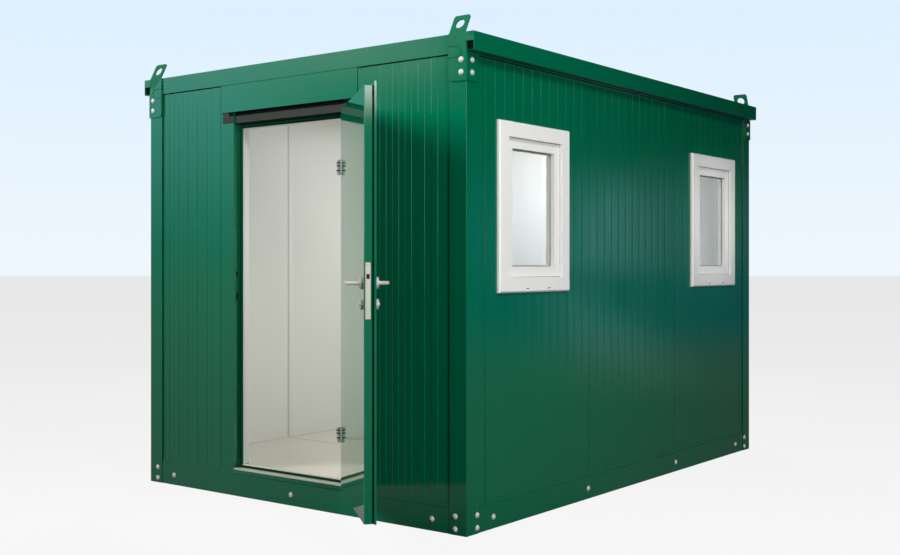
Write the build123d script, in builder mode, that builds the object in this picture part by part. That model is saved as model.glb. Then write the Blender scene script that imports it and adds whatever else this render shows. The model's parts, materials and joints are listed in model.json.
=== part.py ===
from build123d import *
from math import cos, radians, sin, tan
import os

# Portable site cabin: a bolted steel frame filled with sandwich panels, with an outward
# opening door in the front gable and two windows in the right long wall.
# Millimetres. The origin is the centre of the footprint on the ground, the front faces -Y,
# the wall with the windows faces +X and +Z is up.

# Overall size of the steel frame, over the corner posts
cabin_width = 2400.0
cabin_length = 3400.0
frame_height = 2446.0

# Corner posts and the beams of the base and roof frames
post_width = 106.0
post_wall = 4.0
beam_width = 60.0
beam_wall = 4.0
base_beam_height = 125.0
roof_beam_height = 96.0
eaves_beam_height = 55.0

# Wall panels, which lie a little behind the faces of the beams
panel_setback = 6.0
panel_thickness = 60.0
sill_trim_height = 22.0
sill_trim_thickness = 4.0

# Floor, ceiling and roof
floor_thickness = 18.0
cross_member_count = 5
cross_member_width = 60.0
ceiling_thickness = 12.0
roof_sheet_thickness = 5.0
roof_rise = 28.0

# Eaves gutters along the two long sides
gutter_reach = 50.0
gutter_height = 92.0
gutter_wall = 3.0
gutter_lip = 14.0
gutter_end_proud = 8.0
gutter_end_plate_height = 46.0

# Lifting brackets bolted over the top of each corner post
bracket_thickness = 6.0
bracket_drop = 234.0
bracket_side_width = 76.0
bracket_gutter_gap = 4.0
bracket_corner_radius = 20.0
lug_width = 98.0
lug_length = 104.0
lug_tilt = 27.0
lug_corner_radius = 15.0
lug_hole_radius = 26.0
lug_hole_distance = 53.0

# Door opening in the front wall, from the cabin's centre line
door_module_left = -570.0
door_module_right = 485.0
door_opening_left = -460.0
door_opening_right = 390.0
door_head_panel_height = 159.0
head_lip_height = 8.0
head_lip_proud = 6.0
head_lip_end = 12.0

# Door frame section: a rebate for the leaf, then the stop and the inner casing
rebate_depth = 44.0
stop_width = 28.0
casing_proud = 24.0
head_setback = 12.0
head_rebate_height = 40.0
head_rebate_top_gap = 23.0
threshold_height = 32.0
threshold_stop_height = 52.0

# Door leaf: core, seal groove and the outer skin that laps over the jambs and the head
leaf_angle = 139.9
leaf_core_thickness = 37.0
leaf_groove_thickness = 7.0
leaf_groove_depth = 8.0
leaf_skin_thickness = 10.0
leaf_skin_lap = 18.0
leaf_face_gap = 5.0
leaf_hinge_gap = 5.0
leaf_lock_gap = 7.0
leaf_head_gap = 8.0
leaf_threshold_gap = 3.0
leaf_edge_radius = 5.0

# Hinges, whose pins stand on the right jamb
hinge_offset = 55.0
hinge_standoff = 14.0
hinge_foot_distance = 283.0
hinge_head_distance = 300.0
hinge_height = 78.0
hinge_knuckle_radius = 8.0
hinge_pin_radius = 4.0
hinge_pin_clearance = 0.1
hinge_knuckle_gap = 0.5
hinge_knuckle_height = 30.0
hinge_plate_thickness = 3.0
hinge_frame_plate_width = 36.0
hinge_leaf_plate_width = 50.0

# Inner barrels of the hinges, on the room side of the leaf, and their pockets in the jamb
barrel_radius = 8.5
barrel_inset = 10.0
barrel_standoff = 14.0
barrel_groove_height = 6.0
barrel_groove_depth = 2.5
barrel_groove_shares = (0.3, 0.1, -0.21)
barrel_pocket_margin = 10.0

# Lock, lever handles and cylinder roses
handle_height = 1236.0
handle_backset = 60.0
lever_radius = 9.0
lever_projection = 60.0
outer_lever_projection = 66.0
lever_length = 120.0
lever_bend_radius = 20.0
lever_clearance = 0.3
spindle_clearance = 5.0
rose_radius = 27.5
rose_thickness = 10.0
outer_rose_thickness = 20.0
cylinder_drop = 96.0
cylinder_rose_radius = 24.5
cylinder_plug_radius = 8.5
cylinder_plug_proud = 6.0
faceplate_height = 254.0
faceplate_width = 24.0
faceplate_thickness = 2.5
faceplate_drop = 34.0
latch_height = 22.0
latch_width = 15.0
latch_depth = 14.0
latch_rise = 30.0

# Windows in the right long wall
window_width = 670.0
window_height = 875.0
window_head_drop = 300.0
window_end_distance = 601.0
window_lap = 35.0
window_frame_face = 80.0
window_frame_proud = 22.0
window_frame_bevel = 8.0
sash_face = 55.0
sash_recess = 17.0
sash_depth = 55.0
glass_recess = 27.0
glass_thickness = 20.0

# Planes that several pieces share
half_width = cabin_width / 2
half_length = cabin_length / 2
beam_face_x = half_width - post_wall
beam_face_y = half_length - post_wall
beam_inner_x = beam_face_x - beam_width
beam_inner_y = beam_face_y - beam_width
panel_face_x = beam_face_x - panel_setback
panel_face_y = beam_face_y - panel_setback
panel_inner_x = panel_face_x - panel_thickness
panel_inner_y = panel_face_y - panel_thickness
post_edge_x = half_width - post_width
post_edge_y = half_length - post_width
panel_bottom = base_beam_height
panel_top = frame_height - roof_beam_height
floor_top = panel_bottom + floor_thickness
eaves_top = panel_top + eaves_beam_height
gutter_bottom = frame_height - gutter_height
door_head_panel_bottom = panel_top - door_head_panel_height
window_bottom = panel_top - window_head_drop - window_height
sides = {"left": -1, "right": 1}
ends = {"front": -1, "rear": 1}

os.makedirs("parts", exist_ok=True)


def save(part, name):
    """Label a finished piece and write its STEP file."""
    part.label = name
    export_step(part, f"parts/{name}.step")


def span(low, high):
    """Size and centre of the box between two opposite corners, given in any order."""
    size = [abs(b - a) for a, b in zip(low, high)]
    centre = tuple((a + b) / 2 for a, b in zip(low, high))
    return size, centre


def add_box(low, high, mode=Mode.ADD):
    """Add the box between two corners to the part being built, or cut it away."""
    size, centre = span(low, high)
    with Locations(centre):
        Box(*size, mode=mode)


def save_slab(name, low, high):
    """One plain slab between two corners."""
    with BuildPart() as slab:
        add_box(low, high)
    save(slab.part, name)


def save_tube(name, low, high, run):
    """A box section between two corners, open at its ends, that runs along axis 0 or 1."""
    inner_low = [value + beam_wall for value in low]
    inner_high = [value - beam_wall for value in high]
    inner_low[run] = low[run]
    inner_high[run] = high[run]
    with BuildPart() as tube:
        add_box(low, high)
        add_box(inner_low, inner_high, Mode.SUBTRACT)
    save(tube.part, name)


# Base frame: front and rear beams over the full width, side beams between them
for end, sign in ends.items():
    near, far = sorted((sign * beam_inner_y, sign * beam_face_y))
    save_tube(f"{end}_base_beam", (-beam_face_x, near, 0), (beam_face_x, far, base_beam_height), 0)
    save_tube(f"{end}_roof_beam", (-beam_face_x, near, panel_top), (beam_face_x, far, frame_height), 0)

for side, sign in sides.items():
    near, far = sorted((sign * beam_inner_x, sign * beam_face_x))
    save_tube(f"{side}_base_beam", (near, -beam_inner_y, 0), (far, beam_inner_y, base_beam_height), 1)
    save_tube(f"{side}_eaves_beam", (near, -beam_inner_y, panel_top), (far, beam_inner_y, eaves_top), 1)

# Floor cross members at even spacing, with one across the middle of the cabin
cross_member_pitch = 2 * beam_inner_y / (cross_member_count + 1)
with BuildPart() as floor_cross_members:
    with Locations((0, 0, base_beam_height / 2)):
        with GridLocations(0, cross_member_pitch, 1, cross_member_count):
            Box(2 * beam_inner_x, cross_member_width, base_beam_height)
save(floor_cross_members.part, "floor_cross_members")

save_slab(
    "floor_deck",
    (-panel_inner_x, -panel_inner_y, panel_bottom),
    (panel_inner_x, panel_inner_y, floor_top),
)
save_slab(
    "ceiling_lining",
    (-beam_inner_x, -beam_inner_y, panel_top),
    (beam_inner_x, beam_inner_y, panel_top + ceiling_thickness),
)

# Roof sheet: flat over the eaves beams, with a low ridge along the middle
roof_underside = [(beam_face_x, eaves_top), (beam_inner_x, eaves_top), (0, eaves_top + roof_rise)]
roof_topside = [(x, z + roof_sheet_thickness) for x, z in roof_underside]
roof_outline = [
    *roof_underside,
    *[(-x, z) for x, z in reversed(roof_underside[:-1])],
    *[(-x, z) for x, z in roof_topside],
    *reversed(roof_topside[:-1]),
]
with BuildPart() as roof_sheet:
    with BuildSketch(Plane.XZ.offset(-beam_inner_y)):
        with BuildLine():
            Polyline(*roof_outline, close=True)
        make_face()
    extrude(amount=2 * beam_inner_y)
save(roof_sheet.part, "roof_sheet")

# Corner posts: steel angles whose edges are folded back to the wall panels
for end, end_sign in ends.items():
    for side, side_sign in sides.items():
        with BuildPart() as post:
            add_box(
                (side_sign * post_edge_x, end_sign * beam_face_y, 0),
                (side_sign * half_width, end_sign * half_length, frame_height),
            )
            add_box(
                (side_sign * beam_face_x, end_sign * post_edge_y, 0),
                (side_sign * half_width, end_sign * half_length, frame_height),
            )
            add_box(
                (side_sign * post_edge_x, end_sign * panel_face_y, panel_bottom),
                (side_sign * (post_edge_x + post_wall), end_sign * half_length, panel_top),
            )
            add_box(
                (side_sign * panel_face_x, end_sign * post_edge_y, panel_bottom),
                (side_sign * half_width, end_sign * (post_edge_y + post_wall), panel_top),
            )
        save(post.part, f"{end}_{side}_post")

# Eaves gutters: an open channel whose ends are half closed, with a back leaf that bolts to the
# eaves beam between the posts
gutter_outer = half_width + gutter_reach
gutter_end = half_length + gutter_end_proud
gutter_section = [
    (half_width, gutter_bottom),
    (gutter_outer, gutter_bottom),
    (gutter_outer, frame_height),
    (gutter_outer - gutter_lip, frame_height),
    (gutter_outer - gutter_lip, frame_height - gutter_wall),
    (gutter_outer - gutter_wall, frame_height - gutter_wall),
    (gutter_outer - gutter_wall, gutter_bottom + gutter_wall),
    (half_width, gutter_bottom + gutter_wall),
]
for side, sign in sides.items():
    with BuildPart() as gutter:
        with BuildSketch(Plane.XZ.offset(-gutter_end)):
            with BuildLine():
                Polyline(*[(sign * x, z) for x, z in gutter_section], close=True)
            make_face()
        extrude(amount=2 * gutter_end)
        add_box(
            (sign * beam_face_x, -post_edge_y, gutter_bottom),
            (sign * (half_width + gutter_wall), post_edge_y, eaves_top),
        )
        for end_sign in ends.values():
            add_box(
                (sign * half_width, end_sign * gutter_end, frame_height - gutter_end_plate_height),
                (sign * gutter_outer, end_sign * (gutter_end - gutter_wall), frame_height),
            )
    save(gutter.part, f"{side}_eaves_gutter")

# Lifting brackets: a front plate with a bent lug and a side flange below the gutter
tilt = radians(lug_tilt)
bend_inset = bracket_thickness * tan(tilt / 2)
bend_height = frame_height + bend_inset
bracket_bottom = frame_height - bracket_drop
plate_outer = half_length + bracket_thickness


def lug_point(along, depth):
    """Distance from the cabin's middle and height of a point of the lug, from its bend."""
    return (
        plate_outer - along * sin(tilt) - depth * cos(tilt),
        bend_height + along * cos(tilt) - depth * sin(tilt),
    )


plate_section = [
    (plate_outer, bracket_bottom),
    (half_length, bracket_bottom),
    (half_length, frame_height),
    (plate_outer, bend_height),
]
lug_section = [
    (plate_outer, bend_height),
    (half_length, frame_height),
    lug_point(lug_length, bracket_thickness),
    lug_point(lug_length, 0),
]
lug_hole = lug_point(lug_hole_distance, bracket_thickness / 2)
lug_centre = half_width - post_width / 2

for end, end_sign in ends.items():
    for side, side_sign in sides.items():
        lug_normal = (0, end_sign * cos(tilt), sin(tilt))
        lug_middle = side_sign * lug_centre
        with BuildPart() as bracket:
            for section, width in ((plate_section, post_width), (lug_section, lug_width)):
                with BuildSketch(Plane.YZ.offset(lug_middle - width / 2)):
                    with BuildLine():
                        Polyline(*[(end_sign * y, z) for y, z in section], close=True)
                    make_face()
                extrude(amount=width)
            lug_corners = bracket.edges().filter_by(Axis((0, 0, 0), lug_normal)).sort_by(Axis.Z)[-2:]
            fillet(lug_corners, lug_corner_radius)
            plate_corners = bracket.edges().filter_by(Axis.Y).group_by(Axis.Z)[0]
            inner_corner = plate_corners.sort_by(Axis((0, 0, 0), (side_sign, 0, 0)))[0]
            fillet(inner_corner, bracket_corner_radius)
            hole_plane = Plane(
                origin=(lug_middle, end_sign * lug_hole[0], lug_hole[1]),
                x_dir=(1, 0, 0),
                z_dir=lug_normal,
            )
            with BuildSketch(hole_plane):
                Circle(lug_hole_radius)
            extrude(amount=bracket_thickness, both=True, mode=Mode.SUBTRACT)
            add_box(
                (side_sign * half_width, end_sign * (half_length - bracket_side_width), bracket_bottom),
                (
                    side_sign * (half_width + bracket_thickness),
                    end_sign * plate_outer,
                    gutter_bottom - bracket_gutter_gap,
                ),
            )
        save(bracket.part, f"{end}_{side}_lifting_bracket")

# Long walls: three panels each, with the windows in the end panels of the right wall
panel_joint_y = post_edge_y / 3
long_wall_bays = {
    "front": (-panel_face_y, -panel_joint_y),
    "middle": (-panel_joint_y, panel_joint_y),
    "rear": (panel_joint_y, panel_face_y),
}
window_centre_y = half_length - window_end_distance
window_centres = {"front": -window_centre_y, "rear": window_centre_y}
window_cut_width = window_width - 2 * window_lap
window_cut_bottom = window_bottom + window_lap
window_cut_top = window_bottom + window_height - window_lap
for side, sign in sides.items():
    for bay, (bay_start, bay_end) in long_wall_bays.items():
        with BuildPart() as panel:
            add_box(
                (sign * panel_inner_x, bay_start, panel_bottom),
                (sign * panel_face_x, bay_end, panel_top),
            )
            if side == "right" and bay in window_centres:
                add_box(
                    (panel_inner_x, window_centres[bay] - window_cut_width / 2, window_cut_bottom),
                    (panel_face_x, window_centres[bay] + window_cut_width / 2, window_cut_top),
                    Mode.SUBTRACT,
                )
        save(panel.part, f"{side}_wall_panel_{bay}")

# Gable walls: two panels at the rear, and one on each side of the door at the front
for side, sign in sides.items():
    save_slab(
        f"rear_wall_panel_{side}",
        (0, panel_inner_y, panel_bottom),
        (sign * panel_inner_x, panel_face_y, panel_top),
    )
save_slab(
    "front_wall_panel_left",
    (-panel_inner_x, -panel_face_y, panel_bottom),
    (door_module_left, -panel_inner_y, panel_top),
)
save_slab(
    "front_wall_panel_right",
    (door_module_right, -panel_face_y, panel_bottom),
    (panel_inner_x, -panel_inner_y, panel_top),
)

# Sill trims: strips on the ledge of the base beams, around the foot of the walls
trim_face_x = panel_face_x + sill_trim_thickness
trim_face_y = panel_face_y + sill_trim_thickness
trim_top = panel_bottom + sill_trim_height
with BuildPart() as sill_trims:
    add_box((-post_edge_x, -trim_face_y, panel_bottom), (door_module_left, -panel_face_y, trim_top))
    add_box((door_module_right, -trim_face_y, panel_bottom), (post_edge_x, -panel_face_y, trim_top))
    add_box((-post_edge_x, panel_face_y, panel_bottom), (post_edge_x, trim_face_y, trim_top))
    for sign in sides.values():
        add_box(
            (sign * panel_face_x, -post_edge_y, panel_bottom),
            (sign * trim_face_x, post_edge_y, trim_top),
        )
save(sill_trims.part, "sill_trims")

# Door surround: head panel with a drip lip, jambs, head and threshold
rebate_y = -beam_face_y + rebate_depth
casing_y = -panel_inner_y + casing_proud
head_edge = door_head_panel_bottom - head_rebate_top_gap - head_rebate_height
clear_top = head_edge - stop_width
clear_left = door_opening_left + stop_width
clear_right = door_opening_right - stop_width
threshold_top = panel_bottom + threshold_height
core_bottom = threshold_top + leaf_threshold_gap
core_top = head_edge - leaf_head_gap
hinge_heights = (core_bottom + hinge_foot_distance, core_top - hinge_head_distance)

with BuildPart() as door_head_panel:
    add_box(
        (door_module_left, -beam_face_y, door_head_panel_bottom),
        (door_module_right, -panel_inner_y, panel_top),
    )
    add_box(
        (door_module_left + head_lip_end, -beam_face_y - head_lip_proud, door_head_panel_bottom),
        (door_module_right - head_lip_end, -beam_face_y, door_head_panel_bottom + head_lip_height),
    )
save(door_head_panel.part, "door_head_panel")

# The stop of the right jamb has a pocket for the inner barrel of each hinge
pocket_reach = hinge_height / 2 + barrel_pocket_margin
jamb_edges = {
    "left": (door_module_left, door_opening_left, clear_left),
    "right": (door_module_right, door_opening_right, clear_right),
}
for side, (outer_x, opening_x, clear_x) in jamb_edges.items():
    with BuildPart() as jamb:
        add_box((outer_x, -beam_face_y, panel_bottom), (opening_x, -panel_inner_y, door_head_panel_bottom))
        add_box((opening_x, rebate_y, panel_bottom), (clear_x, -panel_inner_y, door_head_panel_bottom))
        add_box((outer_x, -panel_inner_y, floor_top), (clear_x, casing_y, door_head_panel_bottom))
        if side == "right":
            for height in hinge_heights:
                add_box(
                    (opening_x, rebate_y, height - pocket_reach),
                    (clear_x, -panel_inner_y, height + pocket_reach),
                    Mode.SUBTRACT,
                )
    save(jamb.part, f"door_jamb_{side}")

with BuildPart() as door_frame_head:
    add_box((clear_left, rebate_y, clear_top), (clear_right, casing_y, door_head_panel_bottom))
    add_box(
        (door_opening_left, -beam_face_y + head_setback, head_edge),
        (door_opening_right, rebate_y, head_edge + head_rebate_height),
    )
save(door_frame_head.part, "door_frame_head")

with BuildPart() as door_threshold:
    add_box(
        (door_opening_left, -beam_face_y, panel_bottom),
        (door_opening_right, rebate_y, threshold_top),
    )
    add_box(
        (clear_left, rebate_y, panel_bottom),
        (clear_right, -panel_inner_y, panel_bottom + threshold_stop_height),
    )
save(door_threshold.part, "door_threshold")

# Windows: a frame that laps over the panel, a sash and one pane each
for bay, centre_y in window_centres.items():
    wall_plane = Plane(
        origin=(panel_face_x, centre_y, window_bottom + window_height / 2),
        x_dir=(0, 1, 0),
        z_dir=(1, 0, 0),
    )
    sash_width = window_width - 2 * window_frame_face
    sash_height = window_height - 2 * window_frame_face
    sash_front = window_frame_proud - sash_recess
    pane_width = sash_width - 2 * sash_face
    pane_height = sash_height - 2 * sash_face

    with BuildPart() as window_frame:
        with BuildSketch(wall_plane):
            Rectangle(window_width, window_height)
        extrude(amount=window_frame_proud)
        chamfer(window_frame.faces().sort_by(Axis.X)[-1].edges(), window_frame_bevel)
        with BuildSketch(wall_plane):
            Rectangle(window_cut_width, window_cut_top - window_cut_bottom)
        extrude(amount=-panel_thickness)
        with BuildSketch(wall_plane.offset(-panel_thickness)):
            Rectangle(sash_width, sash_height)
        extrude(amount=panel_thickness + window_frame_proud, mode=Mode.SUBTRACT)
    save(window_frame.part, f"window_frame_{bay}")

    with BuildPart() as window_sash:
        with BuildSketch(wall_plane.offset(sash_front)):
            Rectangle(sash_width, sash_height)
            Rectangle(pane_width, pane_height, mode=Mode.SUBTRACT)
        extrude(amount=-sash_depth)
    save(window_sash.part, f"window_sash_{bay}")

    with BuildPart() as window_glass:
        with BuildSketch(wall_plane.offset(sash_front - glass_recess)):
            Rectangle(pane_width, pane_height)
        extrude(amount=-glass_thickness)
    save(window_glass.part, f"window_glass_{bay}")

# Door leaf, in its own plane: x runs from the hinge pin to the lock edge, y points outwards
hinge_x = door_opening_right + hinge_offset
hinge_y = -beam_face_y - hinge_standoff
opened = radians(leaf_angle)
leaf_plane = Plane(
    origin=(hinge_x, hinge_y, 0),
    x_dir=(-cos(opened), -sin(opened), 0),
    z_dir=(0, 0, 1),
)
core_start = hinge_offset + leaf_hinge_gap
core_end = hinge_x - door_opening_left - leaf_lock_gap
skin_inner = leaf_face_gap - hinge_standoff
skin_outer = skin_inner + leaf_skin_thickness
core_outer = skin_inner - leaf_groove_thickness
core_inner = core_outer - leaf_core_thickness
handle_along = core_end - handle_backset


def face_plane(along, height, depth):
    """Plane that faces out of the leaf, at a place along it, a height and a depth."""
    return Plane(
        origin=leaf_plane.from_local_coords((along, depth, height)),
        x_dir=leaf_plane.x_dir,
        z_dir=leaf_plane.y_dir,
    )


faceplate_plane = Plane(
    origin=leaf_plane.from_local_coords(
        (core_end, (core_outer + core_inner) / 2, handle_height - faceplate_drop)
    ),
    x_dir=leaf_plane.y_dir,
    z_dir=leaf_plane.x_dir,
)
latch_offset = faceplate_drop + latch_rise

# The leaf's layers from the inside out, with their margins around the core and below it
leaf_layers = (
    (core_inner, core_outer, 0, 0),
    (core_outer, skin_inner, -leaf_groove_depth, -leaf_groove_depth),
    (skin_inner, skin_outer, leaf_skin_lap, 0),
)
with BuildPart() as door_leaf:
    for inner, outer, margin, foot_margin in leaf_layers:
        size, centre = span((core_start - margin, inner), (core_end + margin, outer))
        with BuildSketch(leaf_plane.offset(core_bottom - foot_margin)):
            with Locations(centre):
                Rectangle(*size)
        extrude(amount=core_top + margin - core_bottom + foot_margin)
    upright_edges = door_leaf.edges().filter_by(Axis.Z)
    inner_edges = upright_edges.sort_by(Axis((0, 0, 0), leaf_plane.y_dir))[:2]
    fillet(inner_edges, leaf_edge_radius)
    with BuildSketch(face_plane(handle_along, handle_height, core_inner)):
        Circle(lever_radius + spindle_clearance)
    extrude(amount=skin_outer - core_inner, mode=Mode.SUBTRACT)
    with BuildSketch(faceplate_plane):
        Rectangle(faceplate_width, faceplate_height)
    extrude(amount=-faceplate_thickness, mode=Mode.SUBTRACT)
    with BuildSketch(faceplate_plane):
        with Locations((0, latch_offset)):
            Rectangle(latch_width, latch_height)
    extrude(amount=-latch_depth, mode=Mode.SUBTRACT)
save(door_leaf.part, "door_leaf")

with BuildPart() as lock_faceplate:
    with BuildSketch(faceplate_plane):
        Rectangle(faceplate_width, faceplate_height)
        with Locations((0, latch_offset)):
            Rectangle(latch_width, latch_height, mode=Mode.SUBTRACT)
    extrude(amount=-faceplate_thickness)
save(lock_faceplate.part, "lock_faceplate")

# Roses of the levers and of the lock cylinder, one pair on each face of the leaf
leaf_faces = ((skin_outer, outer_rose_thickness, 1), (core_inner, rose_thickness, -1))
with BuildPart() as handle_roses:
    for depth, thickness, outward in leaf_faces:
        with BuildSketch(face_plane(handle_along, handle_height, depth)):
            Circle(rose_radius)
            Circle(lever_radius + lever_clearance, mode=Mode.SUBTRACT)
        extrude(amount=outward * thickness)
        with BuildSketch(face_plane(handle_along, handle_height - cylinder_drop, depth)):
            Circle(cylinder_rose_radius)
        extrude(amount=outward * thickness)
        with BuildSketch(face_plane(handle_along, handle_height - cylinder_drop, depth)):
            Circle(cylinder_plug_radius)
        extrude(amount=outward * (thickness + cylinder_plug_proud))
save(handle_roses.part, "handle_roses")

# Lever handles: one bent bar through the leaf, with an arm towards the hinges on each side
lever_route = [
    (handle_along - lever_length, core_inner - lever_projection),
    (handle_along, core_inner - lever_projection),
    (handle_along, skin_outer + outer_lever_projection),
    (handle_along - lever_length, skin_outer + outer_lever_projection),
]
with BuildPart() as lever_handle:
    with BuildLine(leaf_plane.offset(handle_height)) as lever_path:
        FilletPolyline(*lever_route, radius=lever_bend_radius)
    with BuildSketch(Plane(origin=lever_path.line @ 0, z_dir=lever_path.line % 0)):
        Circle(lever_radius)
    sweep()
save(lever_handle.part, "lever_handle")

# Hinges: the frame halves carry the pins, the leaf halves turn on them
frame_knuckle_height = (hinge_height - hinge_knuckle_height) / 2 - hinge_knuckle_gap
frame_plate_face = -beam_face_y - hinge_plate_thickness
with BuildPart() as hinge_frame_halves:
    for height in hinge_heights:
        hinge_bottom = height - hinge_height / 2
        hinge_top = height + hinge_height / 2
        add_box(
            (hinge_x, frame_plate_face, hinge_bottom),
            (hinge_x + hinge_frame_plate_width, -beam_face_y, hinge_top),
        )
        for base in (hinge_bottom, hinge_top - frame_knuckle_height):
            with BuildSketch(Plane.XY.offset(base)):
                with Locations((hinge_x, hinge_y)):
                    Circle(hinge_knuckle_radius)
                with BuildLine():
                    Polyline(
                        (hinge_x, hinge_y),
                        (hinge_x + hinge_knuckle_radius, hinge_y),
                        (hinge_x + hinge_knuckle_radius, -beam_face_y),
                        (hinge_x, -beam_face_y),
                        close=True,
                    )
                make_face()
            extrude(amount=frame_knuckle_height)
        with BuildSketch(Plane.XY.offset(hinge_bottom)):
            with Locations((hinge_x, hinge_y)):
                Circle(hinge_pin_radius)
        extrude(amount=hinge_height)
save(hinge_frame_halves.part, "hinge_frame_halves")

# The leaf halves have a knuckle on the outside and a grooved barrel on the room side
hinge_plate_start = core_start - leaf_skin_lap
barrel_along = core_start + barrel_inset
barrel_depth = core_inner - barrel_standoff
with BuildPart() as hinge_leaf_halves:
    for height in hinge_heights:
        size, centre = span(
            (hinge_plate_start, skin_outer),
            (hinge_plate_start + hinge_leaf_plate_width, skin_outer + hinge_plate_thickness),
        )
        with BuildSketch(leaf_plane.offset(height - hinge_height / 2)):
            with Locations(centre):
                Rectangle(*size)
        extrude(amount=hinge_height)
        size, centre = span((0, skin_outer), (hinge_plate_start, skin_outer + hinge_plate_thickness))
        with BuildSketch(leaf_plane.offset(height - hinge_knuckle_height / 2)):
            Circle(hinge_knuckle_radius)
            with Locations(centre):
                Rectangle(*size)
            Circle(hinge_pin_radius + hinge_pin_clearance, mode=Mode.SUBTRACT)
        extrude(amount=hinge_knuckle_height)
    for height in hinge_heights:
        plate_size, plate_centre = span(
            (barrel_along, core_inner),
            (barrel_along + hinge_frame_plate_width, core_inner - hinge_plate_thickness),
        )
        arm_size, arm_centre = span(
            (barrel_along, core_inner),
            (barrel_along + hinge_plate_thickness, barrel_depth),
        )
        with BuildSketch(leaf_plane.offset(height - hinge_height / 2)):
            with Locations((barrel_along, barrel_depth)):
                Circle(barrel_radius)
            with Locations(plate_centre):
                Rectangle(*plate_size)
            with Locations(arm_centre):
                Rectangle(*arm_size)
        extrude(amount=hinge_height)
        for share in barrel_groove_shares:
            groove_middle = height + share * hinge_height
            with BuildSketch(leaf_plane.offset(groove_middle - barrel_groove_height / 2)):
                with Locations((barrel_along, barrel_depth)):
                    Circle(barrel_radius)
                    Circle(barrel_radius - barrel_groove_depth, mode=Mode.SUBTRACT)
            extrude(amount=barrel_groove_height, mode=Mode.SUBTRACT)
save(hinge_leaf_halves.part, "hinge_leaf_halves")
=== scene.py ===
"""Looks of the portable site cabin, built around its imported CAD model. Metres and radians."""
import json
from math import ceil, cos, floor, pi, radians, sin

import bmesh
import bpy
from mathutils import Matrix, Vector


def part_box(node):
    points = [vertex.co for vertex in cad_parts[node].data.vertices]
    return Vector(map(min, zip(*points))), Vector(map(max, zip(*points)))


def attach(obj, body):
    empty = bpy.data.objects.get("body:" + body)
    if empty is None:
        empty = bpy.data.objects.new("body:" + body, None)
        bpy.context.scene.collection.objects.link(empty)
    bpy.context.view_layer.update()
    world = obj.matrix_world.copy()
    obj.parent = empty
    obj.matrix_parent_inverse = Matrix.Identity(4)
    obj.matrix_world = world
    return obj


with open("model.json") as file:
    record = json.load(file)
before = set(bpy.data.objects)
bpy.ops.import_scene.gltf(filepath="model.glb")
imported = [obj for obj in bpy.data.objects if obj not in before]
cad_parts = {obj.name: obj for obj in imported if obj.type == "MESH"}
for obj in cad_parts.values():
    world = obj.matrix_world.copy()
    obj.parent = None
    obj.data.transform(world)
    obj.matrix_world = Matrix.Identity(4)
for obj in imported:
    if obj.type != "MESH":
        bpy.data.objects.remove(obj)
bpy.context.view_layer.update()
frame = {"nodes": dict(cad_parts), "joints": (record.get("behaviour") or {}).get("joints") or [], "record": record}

UP = Vector((0, 0, 1))
MM = 0.001

# Signs of two opposite sides, and of a rectangle's corners in turn
SIGNS = (-1, 1)
SQUARE = ((-1, -1), (1, -1), (1, 1), (-1, 1))

# Planes of the cabin, read from the frame
post_low, post_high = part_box("front_right_post")
beam_low, beam_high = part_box("front_base_beam")
side_low, side_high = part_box("right_wall_panel_middle")
rear_low, rear_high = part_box("rear_wall_panel_right")
jamb_left_low, jamb_left_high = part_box("door_jamb_left")
jamb_right_low, jamb_right_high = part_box("door_jamb_right")
threshold_low, threshold_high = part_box("door_threshold")
bracket_low, bracket_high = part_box("front_right_lifting_bracket")
gutter_low, gutter_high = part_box("right_eaves_gutter")
roof_low, roof_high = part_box("roof_sheet")
hinge_low, hinge_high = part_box("hinge_frame_halves")
head_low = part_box("door_head_panel")[0]
frame_head_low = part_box("door_frame_head")[0]

HALF_WIDTH, HALF_LENGTH = post_high.x, -post_low.y
POST_EDGE_X, POST_EDGE_Y = post_low.x, -post_high.y
BEAM_FACE_X, BEAM_FACE_Y = beam_high.x, -beam_low.y
PANEL_FACE_X, PANEL_INNER_X, JOINT_Y = side_high.x, side_low.x, side_high.y
PANEL_FACE_Y, PANEL_INNER_Y = rear_high.y, rear_low.y
PANEL_BOTTOM, PANEL_TOP = side_low.z, side_high.z
TRIM_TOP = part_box("sill_trims")[1].z
FLOOR_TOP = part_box("floor_deck")[1].z
BRACKET_FACE_X, BRACKET_FACE_Y = bracket_high.x, -bracket_low.y

# Door surround, from the outside in
MODULE_LEFT, MODULE_RIGHT = jamb_left_low.x, jamb_right_high.x
OPENING_LEFT, OPENING_RIGHT = threshold_low.x, threshold_high.x
CLEAR_LEFT, CLEAR_RIGHT = jamb_left_high.x, jamb_right_low.x
CLEAR_TOP, HEAD_BOTTOM = frame_head_low.z, head_low.z
DOOR_FACE_Y, BAND_FACE_Y = -BEAM_FACE_Y, frame_head_low.y
CASING_Y = jamb_left_high.y
REBATE_DEPTH = 44 * MM
REBATE_Y = DOOR_FACE_Y + REBATE_DEPTH
BAND_DROP, BAND_HEIGHT = 23 * MM, 40 * MM
BAND_TOP = HEAD_BOTTOM - BAND_DROP
BAND_BOTTOM = BAND_TOP - BAND_HEIGHT
BAND_LEFT, SHADE_LEFT, BAND_RIGHT = -551 * MM, -500 * MM, 470 * MM
SHADE_BLOCK_INSET = 4 * MM
HEAD_SEAL_LIFT, HEAD_SEAL_GAP = 8 * MM, 3 * MM
HEAD_SEAL_DEPTH, HEAD_SEAL_BEVEL = 4 * MM, 1.5 * MM
HEAD_JOINT_WIDTH = 2.2 * MM
THRESHOLD_TOP, STOP_TOP = PANEL_BOTTOM + 32 * MM, threshold_high.z
NOSING_LIFT, NOSING_DROP = 2 * MM, 7 * MM
FLOOR_EDGE_HEIGHT = 6 * MM
CASING_GAP = 3 * MM

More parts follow.
